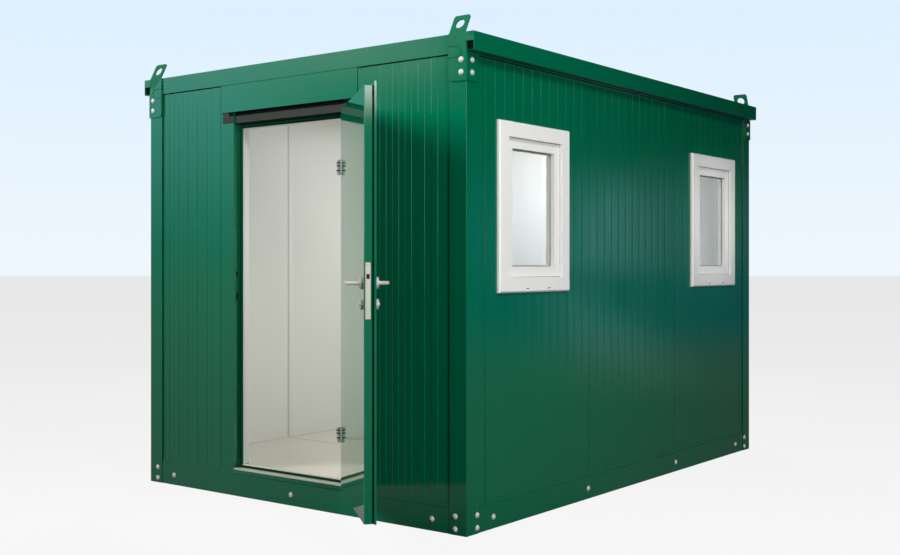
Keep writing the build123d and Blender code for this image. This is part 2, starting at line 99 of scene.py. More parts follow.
# Outer sheets: crowned strips between fine grooves, or strips raised by turns on the gables
SHEET_PROUD = 2.2 * MM
SHEET_THICKNESS = 0.6 * MM
SHEET_GAP = 4 * MM
HEAD_GAP = 6 * MM
SHEET_TOP = PANEL_TOP - HEAD_GAP
GROOVE_PITCH = 84 * MM
GROOVE_WIDTH = 9 * MM
GROOVE_DEPTH = 1.4 * MM
GROOVE_LIP = 0.36 * MM
GROOVE_STEEP_SHARE = 0.15
GROOVE_MARGIN_SHARE = 0.62
STRIP_CROWN = 0.12 * MM
STRIP_STEPS = 6
STEP_RISE_WIDTH = 5 * MM
STEP_FALL_WIDTH = 1.2 * MM
STEP_DEPTH = 2.0 * MM
STEP_END_MARGIN = 50 * MM
GABLE_STEP_SHIFT = {"a": 9 * MM, "b": 42 * MM}
SEAM_WIDTH = 8 * MM
SEAM_RISE = 1.6 * MM
SEAM_BEVEL = 0.8 * SEAM_RISE
FRONT_SEAM_DISTANCE = 183 * MM
SIDE_SEAM_DISTANCE = 165 * MM

# Inner lining, its joints and the floor's seams
LINING_PROUD = 0.8 * MM
LINING_GAP = 3.5 * MM
LINING_JOINT_Y = 605 * MM
COVER_STRIP_WIDTH = 45 * MM
COVER_STRIP_RISE = 1.0 * MM
BEAD_SIZE = 6 * MM
SEAM_LINE_WIDTH = 5 * MM
THIN = 0.8 * MM

# Dome headed bolts; the shares are of the head's radius or of a beam's length
BOLT_RADIUS = 13.5 * MM
WASHER_SHARE, WASHER_HEIGHT_SHARE, WASHER_EDGE_SHARE, DOME_SHARE = 1.12, 0.15, 0.7, 0.52
DOME_STEPS = 6
FOOT_BOLT_HEIGHTS = (92 * MM, 29 * MM)
FRONT_FOOT_BOLT_INSET, SIDE_FOOT_BOLT_INSET = 69 * MM, 88 * MM
BRACKET_BOLT_HEIGHTS = (2314 * MM, 2253 * MM)
FRONT_BRACKET_BOLT_INSET, SIDE_BRACKET_BOLT_INSET = 29 * MM, 38 * MM
BEAM_BOLT_HEIGHT = 59 * MM
FRONT_BEAM_BOLT_SHARES = (-0.41, 0.0, 0.41)
SIDE_BEAM_BOLT_SHARES = (-0.432, -0.16, 0.16, 0.432)

# Beads and screws of the lifting brackets
BRACKET_BEAD_INSET, BRACKET_BEAD_LENGTH = 106 * MM, 52 * MM
BRACKET_BEAD_HEIGHT, BRACKET_BEAD_TURN = 2357 * MM, 27 * MM
BRACKET_BEAD_RADIUS = 3 * MM
BRACKET_BEAD_STEPS = 12
BRACKET_SCREW_INSET, BRACKET_SCREW_HEIGHT = 62 * MM, 2425 * MM
BRACKET_SCREW_RADIUS = 5 * MM

# Black blocks of painted shade in the gutters, and roof ribs
GUTTER_WALL = 3 * MM
GUTTER_PLATE = 46 * MM
GUTTER_SHADE_RECESS, GUTTER_SHADE_LENGTH = 14 * MM, 8 * MM
RIB_PITCH = 200 * MM
RIB_FOOT, RIB_CREST, RIB_RISE = 46 * MM, 24 * MM, 7 * MM
RIB_EAVES_X, RIB_EAVES_LIFT = 1130 * MM, 5 * MM

# Windows: faces and planes of their profiles, and the drain caps
WINDOW_LAP = 35 * MM
FRAME_FACE, SASH_FACE = 80 * MM, 55 * MM
FRAME_PROUD, SASH_PROUD, GLASS_PROUD = 22 * MM, 5 * MM, -22 * MM
GASKET = 4 * MM
SPACER, SPACER_DEPTH, SPACER_GAP = 5 * MM, 16 * MM, 2 * MM
CAP_SHARES = (-0.13, 0.18)
CAP_WIDTH, CAP_HEIGHT, CAP_PROUD = 30 * MM, 9 * MM, 4 * MM
CAP_LIFT = 22 * MM
CAP_BEVEL = 0.45 * CAP_PROUD
DRAIN_WIDTH, DRAIN_DROP, DRAIN_PROUD = 0.8 * CAP_WIDTH, 0.3 * CAP_HEIGHT, 0.6 * CAP_PROUD

# Door leaf: what its layers measure, and the lock's and hinges' places on it
LEAF_LAP = 18 * MM
LEAF_SKIN = 10 * MM
LEAF_GROOVE = 7 * MM
LEAF_GROOVE_DEPTH = 8 * MM
HANDLE_HEIGHT = frame["joints"][1]["pos_m"][2]
LATCH_HEIGHT = HANDLE_HEIGHT + 30 * MM
FACEPLATE_MIDDLE = HANDLE_HEIGHT - 34 * MM
CYLINDER_HEIGHT = HANDLE_HEIGHT - 96 * MM
LATCH_NEAR, LATCH_FAR = 3 * MM, 13 * MM
LATCH_HALF_DEPTH, LATCH_HALF_HEIGHT = 7 * MM, 10 * MM
LOCK_BOLT_PROUD = 1.5 * MM
LOCK_BOLT_HALF_DEPTH, LOCK_BOLT_HALF_HEIGHT = 5 * MM, 17 * MM
FACEPLATE_SCREW_REACH, FACEPLATE_SCREW_RADIUS = 118 * MM, 4.5 * MM
KEY_SLOT_HALF_HEIGHT = 5 * MM
INNER_PLUG_REACH, OUTER_PLUG_REACH = 16 * MM, 26 * MM
HANDLE_BACKSET = 60 * MM
STRIKER_INSET, STRIKER_GAP = 10 * MM, 8 * MM
STRIKER_DROP, STRIKER_LIFT = 60 * MM, 50 * MM
STRIKER_HOLE_INSET = 6 * MM
STRIKER_HOLE_PROUD = 0.3 * THIN
STRIKER_HOLES = ((LATCH_HEIGHT, 14 * MM), (CYLINDER_HEIGHT, 20 * MM))
HINGE_HEIGHT = 78 * MM
HINGE_HEIGHTS = (hinge_low.z + HINGE_HEIGHT / 2, hinge_high.z - HINGE_HEIGHT / 2)
BARREL_INSET, BARREL_STANDOFF = 10 * MM, 14 * MM
BARREL_RING_SHARES = (0.3, 0.1, -0.21)
RING_RADIUS, RING_BORE, RING_HALF, RING_BEVEL = 10.5 * MM, 5 * MM, 2.6 * MM, 1 * MM
POCKET_REACH = HINGE_HEIGHT / 2 + 10 * MM

# Smoothing and softened edges
SHARP_ANGLE, SHEET_SHARP_ANGLE, BOLT_SHARP_ANGLE = radians(28), radians(12), radians(50)
WELD_DISTANCE = 0.01 * MM
SOFT_EDGE_ANGLE = radians(35)
SOFT_EDGES = {
    "frame_paint": 1.5 * MM, "door_paint": 0.8 * MM, "window_plastic": 1.5 * MM, "bare_metal": 0.6 * MM,
}
POST_EDGE_RADIUS = 3.5 * MM
KEPT_SHARP = ("lever_handle", "handle_roses", "door_head_panel", "front_roof_beam")

# Camera, fitted to the photograph's corners
CAMERA_PLACE = (4.5297, -6.1801, 1.3173)
CAMERA_YAW = radians(37.441)
CAMERA_LENS = 46.155
CAMERA_SHIFT = -0.0139
CAMERA_CLIP = 1000

# Studio floor, whose tones and mirrored levels change beside and ahead of the camera
FLOOR_DEPTH, FLOOR_WIDTH = 138.0, 300.0
FLOOR_ROUGHNESS = 0.9
FLOOR_GLOW = 0.92
TONE_DEPTHS = (43, 6)
LEFT_LEVEL = 0.34
RIGHT_EDGE = (-1.3, -0.1)
CLOSE_EDGE, CLOSE_LEVELS = (0.0, 1.2), (0.07, 0.14)
FAR_EDGE = (5.0, 18.0)
LANE_SLOPE = 0.36
LANE_START, LANE_END = (5.2, 7.0), (7.2, 8.6)
LANE_AFTER, LANE_LEAST = 0.2, 0.3

# Patches that gloss mirrors in the world: headings in degrees from +X, edges as the cosine of the
# angle to a heading, rises and falls as the height of a direction
AMBIENT_LEVEL = 0.10
SKY_RISE = (0.0, 0.21)
BRIGHT_HEADING, BRIGHT_EDGE = 205, (0.905, 0.945)
BRIGHT_RISE, BRIGHT_LEVELS = (0.02, 0.14), (0.5, 1.75)
TOP_EDGE, TOP_RISE, TOP_LEVEL = (0.868, 0.882), (0.152, 0.178), 2.5
GLINT_HEADINGS, GLINT_EDGE, GLINT_RISE, GLINT_LEVEL = (280, 10), (0.90, 0.93), (-0.02, 0.03), 1.6
FACING_HEADING, FACING_EDGE = 320, (0.83, 0.90)
FACING_RISE, FACING_FALL, FACING_LEVELS = (0.125, 0.16), (0.162, 0.182), (0.1, 8.0)
OVERHEAD_RISE, OVERHEAD_LEVEL = (0.185, 0.235), 0.35
BACK_HEADING, BEHIND_EDGE, BACK_EDGE = 90, (0.74, 0.79), (0.812, 0.864)
BACK_FALL, BACK_LEVEL, BACK_LEAST = (0.05, 0.09), 1.2, 0.36
FADE_EDGE, FADE_LEVEL = (0.872, 0.893), 0.25


def srgb(red, green, blue):
    """Linear colour of a screen colour given in the range 0 to 255."""
    def linear(value):
        share = value / 255
        return share / 12.92 if share <= 0.04045 else ((share + 0.055) / 1.055) ** 2.4
    return (linear(red), linear(green), linear(blue), 1.0)


def tint(colour, factor):
    """A colour made lighter or darker."""
    return (*[value * factor for value in colour[:3]], 1.0)


# Colours
GREEN = (0.0, 0.125, 0.058, 1.0)
# The door's green is GREEN made lighter: painted light on the leaf's edge.
LIT_DOOR_GREEN = (0.0, 0.155, 0.075, 1.0)
SEAL_GREEN = (0.001, 0.045, 0.024, 1.0)
JOINT_GREEN = (0.0, 0.020, 0.011, 1.0)
WHITE_LINING = (0.66, 0.67, 0.64, 1.0)
VINYL = (0.67, 0.63, 0.54, 1.0)
PLASTIC_WHITE = (0.87, 0.86, 0.83, 1.0)
RUBBER_BLACK = (0.002, 0.007, 0.005, 1.0)
SEALANT_GREY = (0.14, 0.14, 0.13, 1.0)
SEALANT_WHITE = (0.58, 0.58, 0.55, 1.0)
LATCH_BROWN = (0.060, 0.012, 0.008, 1.0)
SPACER_GREY = (0.72, 0.72, 0.70, 1.0)
BAND_GREY = (0.040, 0.043, 0.038, 1.0)
GALVANISED = (0.80, 0.80, 0.76, 1.0)
SATIN_METAL = (0.74, 0.68, 0.59, 1.0)
HINGE_ZINC = (0.60, 0.60, 0.57, 1.0)
ROOF_ZINC = (0.45, 0.47, 0.47, 1.0)
PRIMER = (0.05, 0.08, 0.06, 1.0)
PANE_TINTS = ((0.915, 0.935, 0.99, 1.0), (0.93, 0.945, 1.0, 1.0))
PANE_SHADOW = (0.9, 0.94, 0.94, 1.0)
SKY_LOW, SKY_HIGH = srgb(239, 247, 254), srgb(222, 240, 255)
FLOOR_FAR, FLOOR_NEAR = srgb(240, 240, 240), srgb(252, 252, 252)
FLOOR_BOUNCE, FLOOR_SEEN = (0.1, 0.1, 0.1, 1.0), (0.6, 0.6, 0.6, 1.0)
MIRRORED_TINT = (0.41, 0.75, 1.0, 1.0)
MIRRORED_BLUE = (0.02, 0.45, 1.0, 1.0)
MIRRORED_WHITE = (1.0, 0.97, 0.92, 1.0)
MIRRORED_TOP = (0.75, 0.72, 0.80, 1.0)

# Materials: sockets of the colour mix, the usual range of noise, and the relief of each surface
MIX_FIRST, MIX_SECOND, MIX_RESULT = 6, 7, 2
NOISE_RANGE = (0.3, 0.7)
PAINT_IOR, PANE_IOR, PANE_COAT_IOR = 1.5, 1.06, 1.5
PEEL_RELIEF = 0.006 * MM
SHEET_RELIEF = 0.004 * MM
PLASTIC_RELIEF = 0.003 * MM
VINYL_RELIEF = 0.006 * MM
METAL_RELIEF = 0.02 * MM
DULL_RELIEF = 0.03 * MM
DULL_SPECULAR = 0.03


class Nodes:
    """A material or world node tree with short ways to add what this script uses."""

    def __init__(self, tree):
        self.tree = tree

    def feed(self, socket, value):
        if isinstance(value, bpy.types.NodeSocket):
            self.tree.links.new(value, socket)
        else:
            socket.default_value = value

    def fill(self, node, inputs):
        """Feed a node's inputs, given by name."""
        for name, value in inputs.items():
            self.feed(node.inputs[name], value)

    def add(self, kind, **inputs):
        node = self.tree.nodes.new(kind)
        self.fill(node, inputs)
        return node

    def math(self, operation, first, second):
        node = self.tree.nodes.new("ShaderNodeMath")
        node.operation = operation
        self.feed(node.inputs[0], first)
        self.feed(node.inputs[1], second)
        return node.outputs[0]

    def times(self, first, second):
        return self.math("MULTIPLY", first, second)

    def larger(self, first, second):
        return self.math("MAXIMUM", first, second)

    def smaller(self, first, second):
        return self.math("MINIMUM", first, second)

    def choose(self, factor, first, second):
        """The first number where the factor is 0, the second where it is 1."""
        rest = self.math("SUBTRACT", 1.0, factor)
        return self.math("ADD", self.times(rest, first), self.times(factor, second))

    def ramp(self, value, over, low=0.0, high=1.0):
        """A number that goes from low to high while the value crosses a range."""
        node = self.add("ShaderNodeMapRange", Value=value)
        self.fill(node, {"From Min": over[0], "From Max": over[1], "To Min": low, "To Max": high})
        return node.outputs["Result"]

    def noise(self, scale, stretch=(1, 1, 1), detail=2.0):
        """Noise over the object's own coordinates, stretched along its axes."""
        place = self.add("ShaderNodeTexCoord").outputs["Object"]
        mapping = self.add("ShaderNodeMapping", Vector=place, Scale=stretch)
        texture = self.add("ShaderNodeTexNoise", Vector=mapping.outputs[0], Scale=scale, Detail=detail)
        return texture.outputs["Fac"]

    def vary(self, noise, number, least, most):
        """A number times a share that follows a noise."""
        return self.ramp(noise, NOISE_RANGE, number * least, number * most)

    def mix(self, factor, first, second):
        node = self.tree.nodes.new("ShaderNodeMix")
        node.data_type = "RGBA"
        self.feed(node.inputs["Factor"], factor)
        self.feed(node.inputs[MIX_FIRST], first)
        self.feed(node.inputs[MIX_SECOND], second)
        return node.outputs[MIX_RESULT]

    def shade(self, factor, colour, darkest, lightest):
        """A colour that goes from a darker to a lighter tint."""
        return self.mix(factor, tint(colour, darkest), tint(colour, lightest))

    def bump(self, height, distance, **normal):
        return self.add("ShaderNodeBump", Height=height, Distance=distance, **normal).outputs["Normal"]


def new_material(name):
    """A fresh material: its node helper and its Principled shader."""
    material = bpy.data.materials.new(name)
    material.use_nodes = True
    return material, Nodes(material.node_tree), material.node_tree.nodes["Principled BSDF"]


def mix_surface(material, nodes, factor, first, second):
    """Show the first shader where the factor is 0 and the second where it is 1."""
    mixed = nodes.add("ShaderNodeMixShader", Fac=factor)
    nodes.feed(mixed.inputs[1], first.outputs[0])
    nodes.feed(mixed.inputs[2], second.outputs[0])
    nodes.feed(material.node_tree.nodes["Material Output"].inputs["Surface"], mixed.outputs[0])


def gloss_paint(name, colour, roughness, waviness, coat=0.0):
    """Gloss coat on sheet steel: faint mottling, orange peel and the sheet's own waviness."""
    material, nodes, shader = new_material(name)
    mottle = nodes.noise(scale=1.7, stretch=(1, 1, 0.5), detail=3)
    smears = nodes.noise(scale=6, stretch=(1, 1, 0.25), detail=4)
    waves = nodes.noise(scale=2.2, stretch=(1, 1, 0.45), detail=1)
    peel = nodes.bump(nodes.noise(scale=420), PEEL_RELIEF)
    nodes.fill(shader, {
        "Base Color": nodes.shade(mottle, colour, darkest=0.94, lightest=1.06),
        "Roughness": nodes.vary(smears, roughness, least=0.8, most=1.25),
        "IOR": PAINT_IOR,
        "Coat Weight": coat,
        "Normal": nodes.bump(waves, waviness, Normal=peel),
    })
    return material


def satin_sheet(name, colour, roughness):
    """Off white coated sheet: faint clouds and a fine grain."""
    material, nodes, shader = new_material(name)
    clouds = nodes.noise(scale=3.0, stretch=(1, 1, 0.6))
    nodes.fill(shader, {
        "Base Color": nodes.shade(clouds, colour, darkest=0.98, lightest=1.02),
        "Roughness": nodes.vary(nodes.noise(scale=12), roughness, least=0.9, most=1.1),
        "Normal": nodes.bump(nodes.noise(scale=500), SHEET_RELIEF),
    })
    return material


def smooth_plastic(name, colour, roughness):
    """White window plastic, even and smooth, with the faintest clouds."""
    material, nodes, shader = new_material(name)
    clouds = nodes.noise(scale=2.5, stretch=(1, 1, 0.6), detail=1)
    nodes.fill(shader, {
        "Base Color": nodes.shade(clouds, colour, darkest=0.99, lightest=1.01),
        "Roughness": roughness,
        "Normal": nodes.bump(nodes.noise(scale=500), PLASTIC_RELIEF),
    })
    return material


def vinyl_floor(name, colour, roughness):
    """Pale sheet vinyl with fine speckles and soft scuffs."""
    material, nodes, shader = new_material(name)
    speckle = nodes.ramp(nodes.noise(scale=420, detail=1), over=(0.55, 0.75))
    ground = nodes.shade(nodes.noise(scale=1.5), colour, darkest=0.985, lightest=1.015)
    nodes.fill(shader, {
        "Base Color": nodes.mix(speckle, ground, tint(colour, factor=0.98)),
        "Roughness": roughness,
        "Normal": nodes.bump(nodes.noise(scale=300), VINYL_RELIEF),
    })
    return material


def metal(name, colour, roughness, grain=(1, 1, 1), scale=180, metallic=0.4):
    """Plated or satin metal with a dull film, and a grain or spangle of its own direction."""
    material, nodes, shader = new_material(name)
    pattern = nodes.noise(scale, grain, detail=3)
    nodes.fill(shader, {
        "Base Color": nodes.shade(pattern, colour, darkest=0.85, lightest=1.12),
        "Metallic": metallic,
        "Roughness": nodes.vary(pattern, roughness, least=0.75, most=1.3),
        "Normal": nodes.bump(pattern, METAL_RELIEF),
    })
    return material


def dull(name, colour, roughness=0.6):
    """Rubber, sealant or primer with a fine grain."""
    material, nodes, shader = new_material(name)
    grain = nodes.noise(scale=220, detail=3)
    nodes.fill(shader, {
        "Base Color": nodes.shade(grain, colour, darkest=0.75, lightest=1.3),
        "Roughness": nodes.vary(grain, roughness, least=0.85, most=1.1),
        "Specular IOR Level": DULL_SPECULAR,
        "Normal": nodes.bump(grain, DULL_RELIEF),
    })
    return material


def window_pane(name, haziness):
    """Clear double glazing that hardly bends what is seen; shadow rays pass straight through."""
    material, nodes, shader = new_material(name)
    haze = nodes.noise(scale=5, stretch=(1, 1, 0.4), detail=3)
    nodes.fill(shader, {
        "Base Color": nodes.mix(haze, *PANE_TINTS),
        "Transmission Weight": 1.0,
        "Roughness": nodes.ramp(haze, NOISE_RANGE, high=haziness),
        "IOR": PANE_IOR,
        "Coat Weight": 1.0,
        "Coat IOR": PANE_COAT_IOR,
        "Coat Roughness": 0.0,
    })
    clear = nodes.add("ShaderNodeBsdfTransparent", Color=PANE_SHADOW)
    path = nodes.add("ShaderNodeLightPath")
    mix_surface(material, nodes, path.outputs["Is Shadow Ray"], shader, clear)
    return material


frame_paint = gloss_paint("frame_paint", GREEN, roughness=0.13, waviness=0.5 * MM)
panel_paint = gloss_paint("panel_paint", GREEN, roughness=0.12, waviness=1.6 * MM)
door_paint = gloss_paint("door_paint", LIT_DOOR_GREEN, roughness=0.05, waviness=0.3 * MM, coat=0.7)
lining_sheet = satin_sheet("lining_sheet", WHITE_LINING, roughness=0.35)
floor_vinyl = vinyl_floor("floor_vinyl", VINYL, roughness=0.2)
white_plastic = smooth_plastic("white_plastic", PLASTIC_WHITE, roughness=0.35)
pane_glass = window_pane("pane_glass", haziness=0.015)
galvanised = metal("galvanised_steel", GALVANISED, roughness=0.42, scale=320)
satin_metal = metal("satin_metal", SATIN_METAL, roughness=0.34, grain=(1, 1, 6), scale=160, metallic=0.35)
roof_zinc = metal("roof_zinc", ROOF_ZINC, roughness=0.6, scale=60, metallic=0.1)
hinge_zinc = metal("hinge_zinc", HINGE_ZINC, roughness=0.4, scale=200, metallic=0.15)
spacer_metal = metal("spacer_metal", SPACER_GREY, roughness=0.5, metallic=0.1)
underframe_primer = dull("underframe_primer", PRIMER, roughness=0.65)
black_rubber = dull("black_rubber", RUBBER_BLACK)
grey_sealant = dull("grey_sealant", SEALANT_GREY)
white_sealant = dull("white_sealant", SEALANT_WHITE)
grey_band = dull("grey_band", BAND_GREY)
joint_filler = dull("joint_filler", JOINT_GREEN)
green_seal = dull("green_seal", SEAL_GREEN, roughness=0.5)
brown_latch = dull("brown_latch", LATCH_BROWN, roughness=0.5)

SLOT_MATERIALS = {
    "frame_paint": frame_paint,
    "panel_paint": panel_paint,
    "door_paint": door_paint,
    "roof_steel": roof_zinc,
    "steel_underframe": underframe_primer,
    "inner_lining": lining_sheet,
    "floor_vinyl": floor_vinyl,
    "window_plastic": white_plastic,
    "window_glass": pane_glass,
    "bare_metal": satin_metal,
    "hinge_steel": hinge_zinc,
}


# Mesh helpers
def add_object(name, data):
    """A new object in the scene."""
    made = bpy.data.objects.new(name, data)
    bpy.context.scene.collection.objects.link(made)
    return made


def add_piece(name, mesh_data, material, body="cabin", sharp=SHARP_ANGLE):
    """Turn a bmesh into a named piece that rides on a body."""
    mesh = bpy.data.meshes.new(name)
    mesh_data.to_mesh(mesh)
    mesh_data.free()
    for polygon in mesh.polygons:
        polygon.use_smooth = True
    mesh.set_sharp_from_angle(angle=sharp)
    mesh.materials.append(material)
    piece = add_object(name, mesh)
    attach(piece, body)


def add_block(mesh, low, high, bevel=0.0, place=Matrix.Identity(4)):
    """A box between two corners, with rounded edges, in the given place."""
    low, high = Vector(low), Vector(high)
    shape = Matrix.Translation((low + high) / 2) @ Matrix.Diagonal((*(high - low), 1))
    made = bmesh.ops.create_cube(mesh, size=1, matrix=place @ shape)
    if bevel:
        edges = {edge for vert in made["verts"] for edge in vert.link_edges}
        bmesh.ops.bevel(mesh, geom=list(edges), offset=bevel, segments=2, affect="EDGES", profile=0.5)


def turns(count):
    """Evenly spaced angles of a full turn."""
    return [2 * pi * k / count for k in range(count)]


def bridge(mesh, lower, upper):
    """Faces between two closed rings of vertices; a ring of one vertex is a tip."""
    for k in range(max(len(lower), len(upper))):
        after = k + 1
        corners = [
            lower[k % len(lower)], lower[after % len(lower)],
            upper[after % len(upper)], upper[k % len(upper)],
        ]
        mesh.faces.new(list(dict.fromkeys(corners)))


def add_lathe(mesh, profile, origin, axis, segments=24):
    """Turn (radius, height) points about an axis through the origin point."""
    axis = Vector(axis).normalized()
    across = axis.orthogonal().normalized()
    beside = axis.cross(across)
    rings = []
    for radius, height in profile:
        centre = Vector(origin) + axis * height
        spokes = [across * cos(turn) + beside * sin(turn) for turn in turns(segments if radius else 1)]
        rings.append([mesh.verts.new(centre + radius * spoke) for spoke in spokes])
    for lower, upper in zip(rings, rings[1:]):
        bridge(mesh, lower, upper)


def add_tube(mesh, path, radius, side, segments=10):
    """A round bar along a flat path whose plane has the given normal, closed at its ends."""
    rings = []
    for number, point in enumerate(path):
        before, after = path[max(number - 1, 0)], path[min(number + 1, len(path) - 1)]
        across = (after - before).normalized().cross(side)
        spokes = [across * cos(turn) + side * sin(turn) for turn in turns(segments)]
        rings.append([mesh.verts.new(point + radius * spoke) for spoke in spokes])
    for lower, upper in zip(rings, rings[1:]):
        bridge(mesh, lower, upper)
    mesh.faces.new(rings[0][::-1])
    mesh.faces.new(rings[-1])


class Wall:
    """A vertical plane: along runs to the right as seen from its front, out points away from it."""

    def __init__(self, out, distance):
        self.out = Vector(out)
        self.along = UP.cross(self.out)
        self.distance = distance

    def point(self, along, proud, height):
        return self.along * along + self.out * (self.distance + proud) + UP * height

    def block(self, mesh, low, high, bevel=0.0):
        """A box given by (along, proud, height) corners."""
        turn = Matrix((self.along, self.out, UP)).transposed().to_4x4()
        place = Matrix.Translation(self.out * self.distance) @ turn
        add_block(mesh, low, high, bevel, place)

    def ring(self, mesh, middle, outer, inner, proud_low, proud_high):
        """A rectangular ring with mitred corners; outer and inner are (width, height)."""
        layers = ((outer, proud_low), (outer, proud_high), (inner, proud_high), (inner, proud_low))
        loops = []
        for (width, tall), proud in layers:
            corners = [(middle[0] + a * width / 2, middle[1] + b * tall / 2) for a, b in SQUARE]
            loops.append([mesh.verts.new(self.point(along, proud, height)) for along, height in corners])
        for current, following in zip(loops, loops[1:] + loops[:1]):
            bridge(mesh, current, following)
        bmesh.ops.recalc_face_normals(mesh, faces=mesh.faces)


GABLES, LONG_WALLS = ("front", "rear"), ("left", "right")
OUTSIDE = {
    "front": Wall((0, -1, 0), PANEL_FACE_Y),
    "right": Wall((1, 0, 0), PANEL_FACE_X),
    "rear": Wall((0, 1, 0), PANEL_FACE_Y),
    "left": Wall((-1, 0, 0), PANEL_FACE_X),
}
INSIDE = {
    "front": Wall((0, 1, 0), -PANEL_INNER_Y),
    "right": Wall((-1, 0, 0), -PANEL_INNER_X),
    "rear": Wall((0, -1, 0), -PANEL_INNER_Y),
    "left": Wall((1, 0, 0), -PANEL_INNER_X),
}

# Windows, read from the frame: middle along the wall, middle height, width and height
WINDOWS = {}
for bay in ("front", "rear"):
    low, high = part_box(f"window_frame_{bay}")
    WINDOWS[bay] = ((low.y + high.y) / 2, (low.z + high.z) / 2, high.y - low.y, high.z - low.z)


def window_opening(start, end, lap=0.0, sign=1):
    """Cut in a sheet of the window wall between two places along it, if a window is there."""
    for middle, height, width, tall in WINDOWS.values():
        place = sign * middle
        if start < place < end:
            half_width, half_tall = width / 2 - lap, tall / 2 - lap
            return (place - half_width, place + half_width, height - half_tall, height + half_tall)
    return None


def pitch_places(start, end, first):
    """Places between two edges at the grooves' even pitch, counted from the first."""
    steps = range(ceil((start - first) / GROOVE_PITCH), floor((end - first) / GROOVE_PITCH) + 1)
    return [first + step * GROOVE_PITCH for step in steps]


def grooved_section(start, end, grooves):
    """(along, proud) points across a sheet: crowned strips, and grooves with a steep side and a lip."""
    section = []
    foot = SHEET_PROUD - STRIP_CROWN
    edges = [start - GROOVE_WIDTH / 2, *grooves, end + GROOVE_WIDTH / 2]
    for left, right in zip(edges, edges[1:]):
        low, high = left + GROOVE_WIDTH / 2, right - GROOVE_WIDTH / 2
        for step in range(STRIP_STEPS + 1):
            share = step / STRIP_STEPS
            section.append((low + share * (high - low), foot + STRIP_CROWN * (1 - (2 * share - 1) ** 2)))
        if right in grooves:
            section.append((high + GROOVE_WIDTH * GROOVE_STEEP_SHARE, foot - GROOVE_DEPTH))
            section.append((right + GROOVE_WIDTH / 2 - GROOVE_LIP, foot - GROOVE_LIP))
    return section


def stepped_section(start, end, falls):
    """(along, proud) points across a gable sheet: strips raised by turns, falling at the given places."""
    raised, sunk = SHEET_PROUD, SHEET_PROUD - STEP_DEPTH
    section = []
    for fall in falls:
        rise = fall - GROOVE_PITCH / 2
        steps = ((rise, STEP_RISE_WIDTH, sunk, raised), (fall, STEP_FALL_WIDTH, raised, sunk))
        for middle, width, before, after in steps:
            if start + STEP_RISE_WIDTH < middle < end - STEP_END_MARGIN:
                section += [(middle - width / 2, before), (middle + width / 2, after)]
    return [(start, section[0][1]), *section, (end, section[-1][1])]


def add_sheet(name, wall, section, heights, slot, opening=None):
    """A thin sheet with a section along the wall; opening is (along low, high, height low, high)."""
    columns, rows = list(section), list(heights)
    if opening:
        rows = [heights[0], *opening[2:], heights[1]]
        for edge in opening[:2]:
            before = max((column for column in section if column[0] <= edge), key=lambda column: column[0])
            columns.append((edge, before[1]))
        columns.sort(key=lambda column: column[0])
    mesh = bmesh.new()
    grid = [[mesh.verts.new(wall.point(along, proud, row)) for row in rows] for along, proud in columns]
    for i in range(len(columns) - 1):
        centre = (columns[i][0] + columns[i + 1][0]) / 2
        for j in range(len(rows) - 1):
            cut = opening and opening[0] < centre < opening[1] and j == 1
            if not cut:
                mesh.faces.new((grid[i][j], grid[i + 1][j], grid[i + 1][j + 1], grid[i][j + 1]))
    mesh.normal_update()
    bmesh.ops.solidify(mesh, geom=mesh.faces[:], thickness=SHEET_THICKNESS)
    add_piece(name, mesh, SLOT_MATERIALS[slot], sharp=SHEET_SHARP_ANGLE)


# Walls
def add_outer_sheets():
    """Grooved sheets over the long walls' panels and stepped sheets over the gables'."""
    heights = (TRIM_TOP, SHEET_TOP)
    margin = GROOVE_PITCH * GROOVE_MARGIN_SHARE
    first = -HALF_LENGTH + SIDE_SEAM_DISTANCE
    bays = {"a": (-POST_EDGE_Y, -JOINT_Y), "b": (-JOINT_Y, JOINT_Y), "c": (JOINT_Y, POST_EDGE_Y)}
    for side in ("right", "left"):
        for letter, (start, end) in bays.items():
            opening = window_opening(start, end) if side == "right" else None
            grooves = pitch_places(start + margin, end - margin, first)
            section = grooved_section(start + SHEET_GAP / 2, end - SHEET_GAP / 2, grooves)
            add_sheet(f"{side}_sheet_{letter}", OUTSIDE[side], section, heights, "panel_paint", opening)
    gables = (
        ("front", "a", -POST_EDGE_X, MODULE_LEFT), ("front", "b", MODULE_RIGHT, POST_EDGE_X),
        ("rear", "a", -POST_EDGE_X, 0), ("rear", "b", 0, POST_EDGE_X),
    )
    for gable, letter, start, end in gables:
        first = HALF_WIDTH - FRONT_SEAM_DISTANCE - GROOVE_PITCH / 2 + GABLE_STEP_SHIFT[letter]
        falls = pitch_places(start, end, first)
        section = stepped_section(start + SHEET_GAP / 2, end - SHEET_GAP / 2, falls)
        add_sheet(f"{gable}_sheet_{letter}", OUTSIDE[gable], section, heights, "panel_paint")


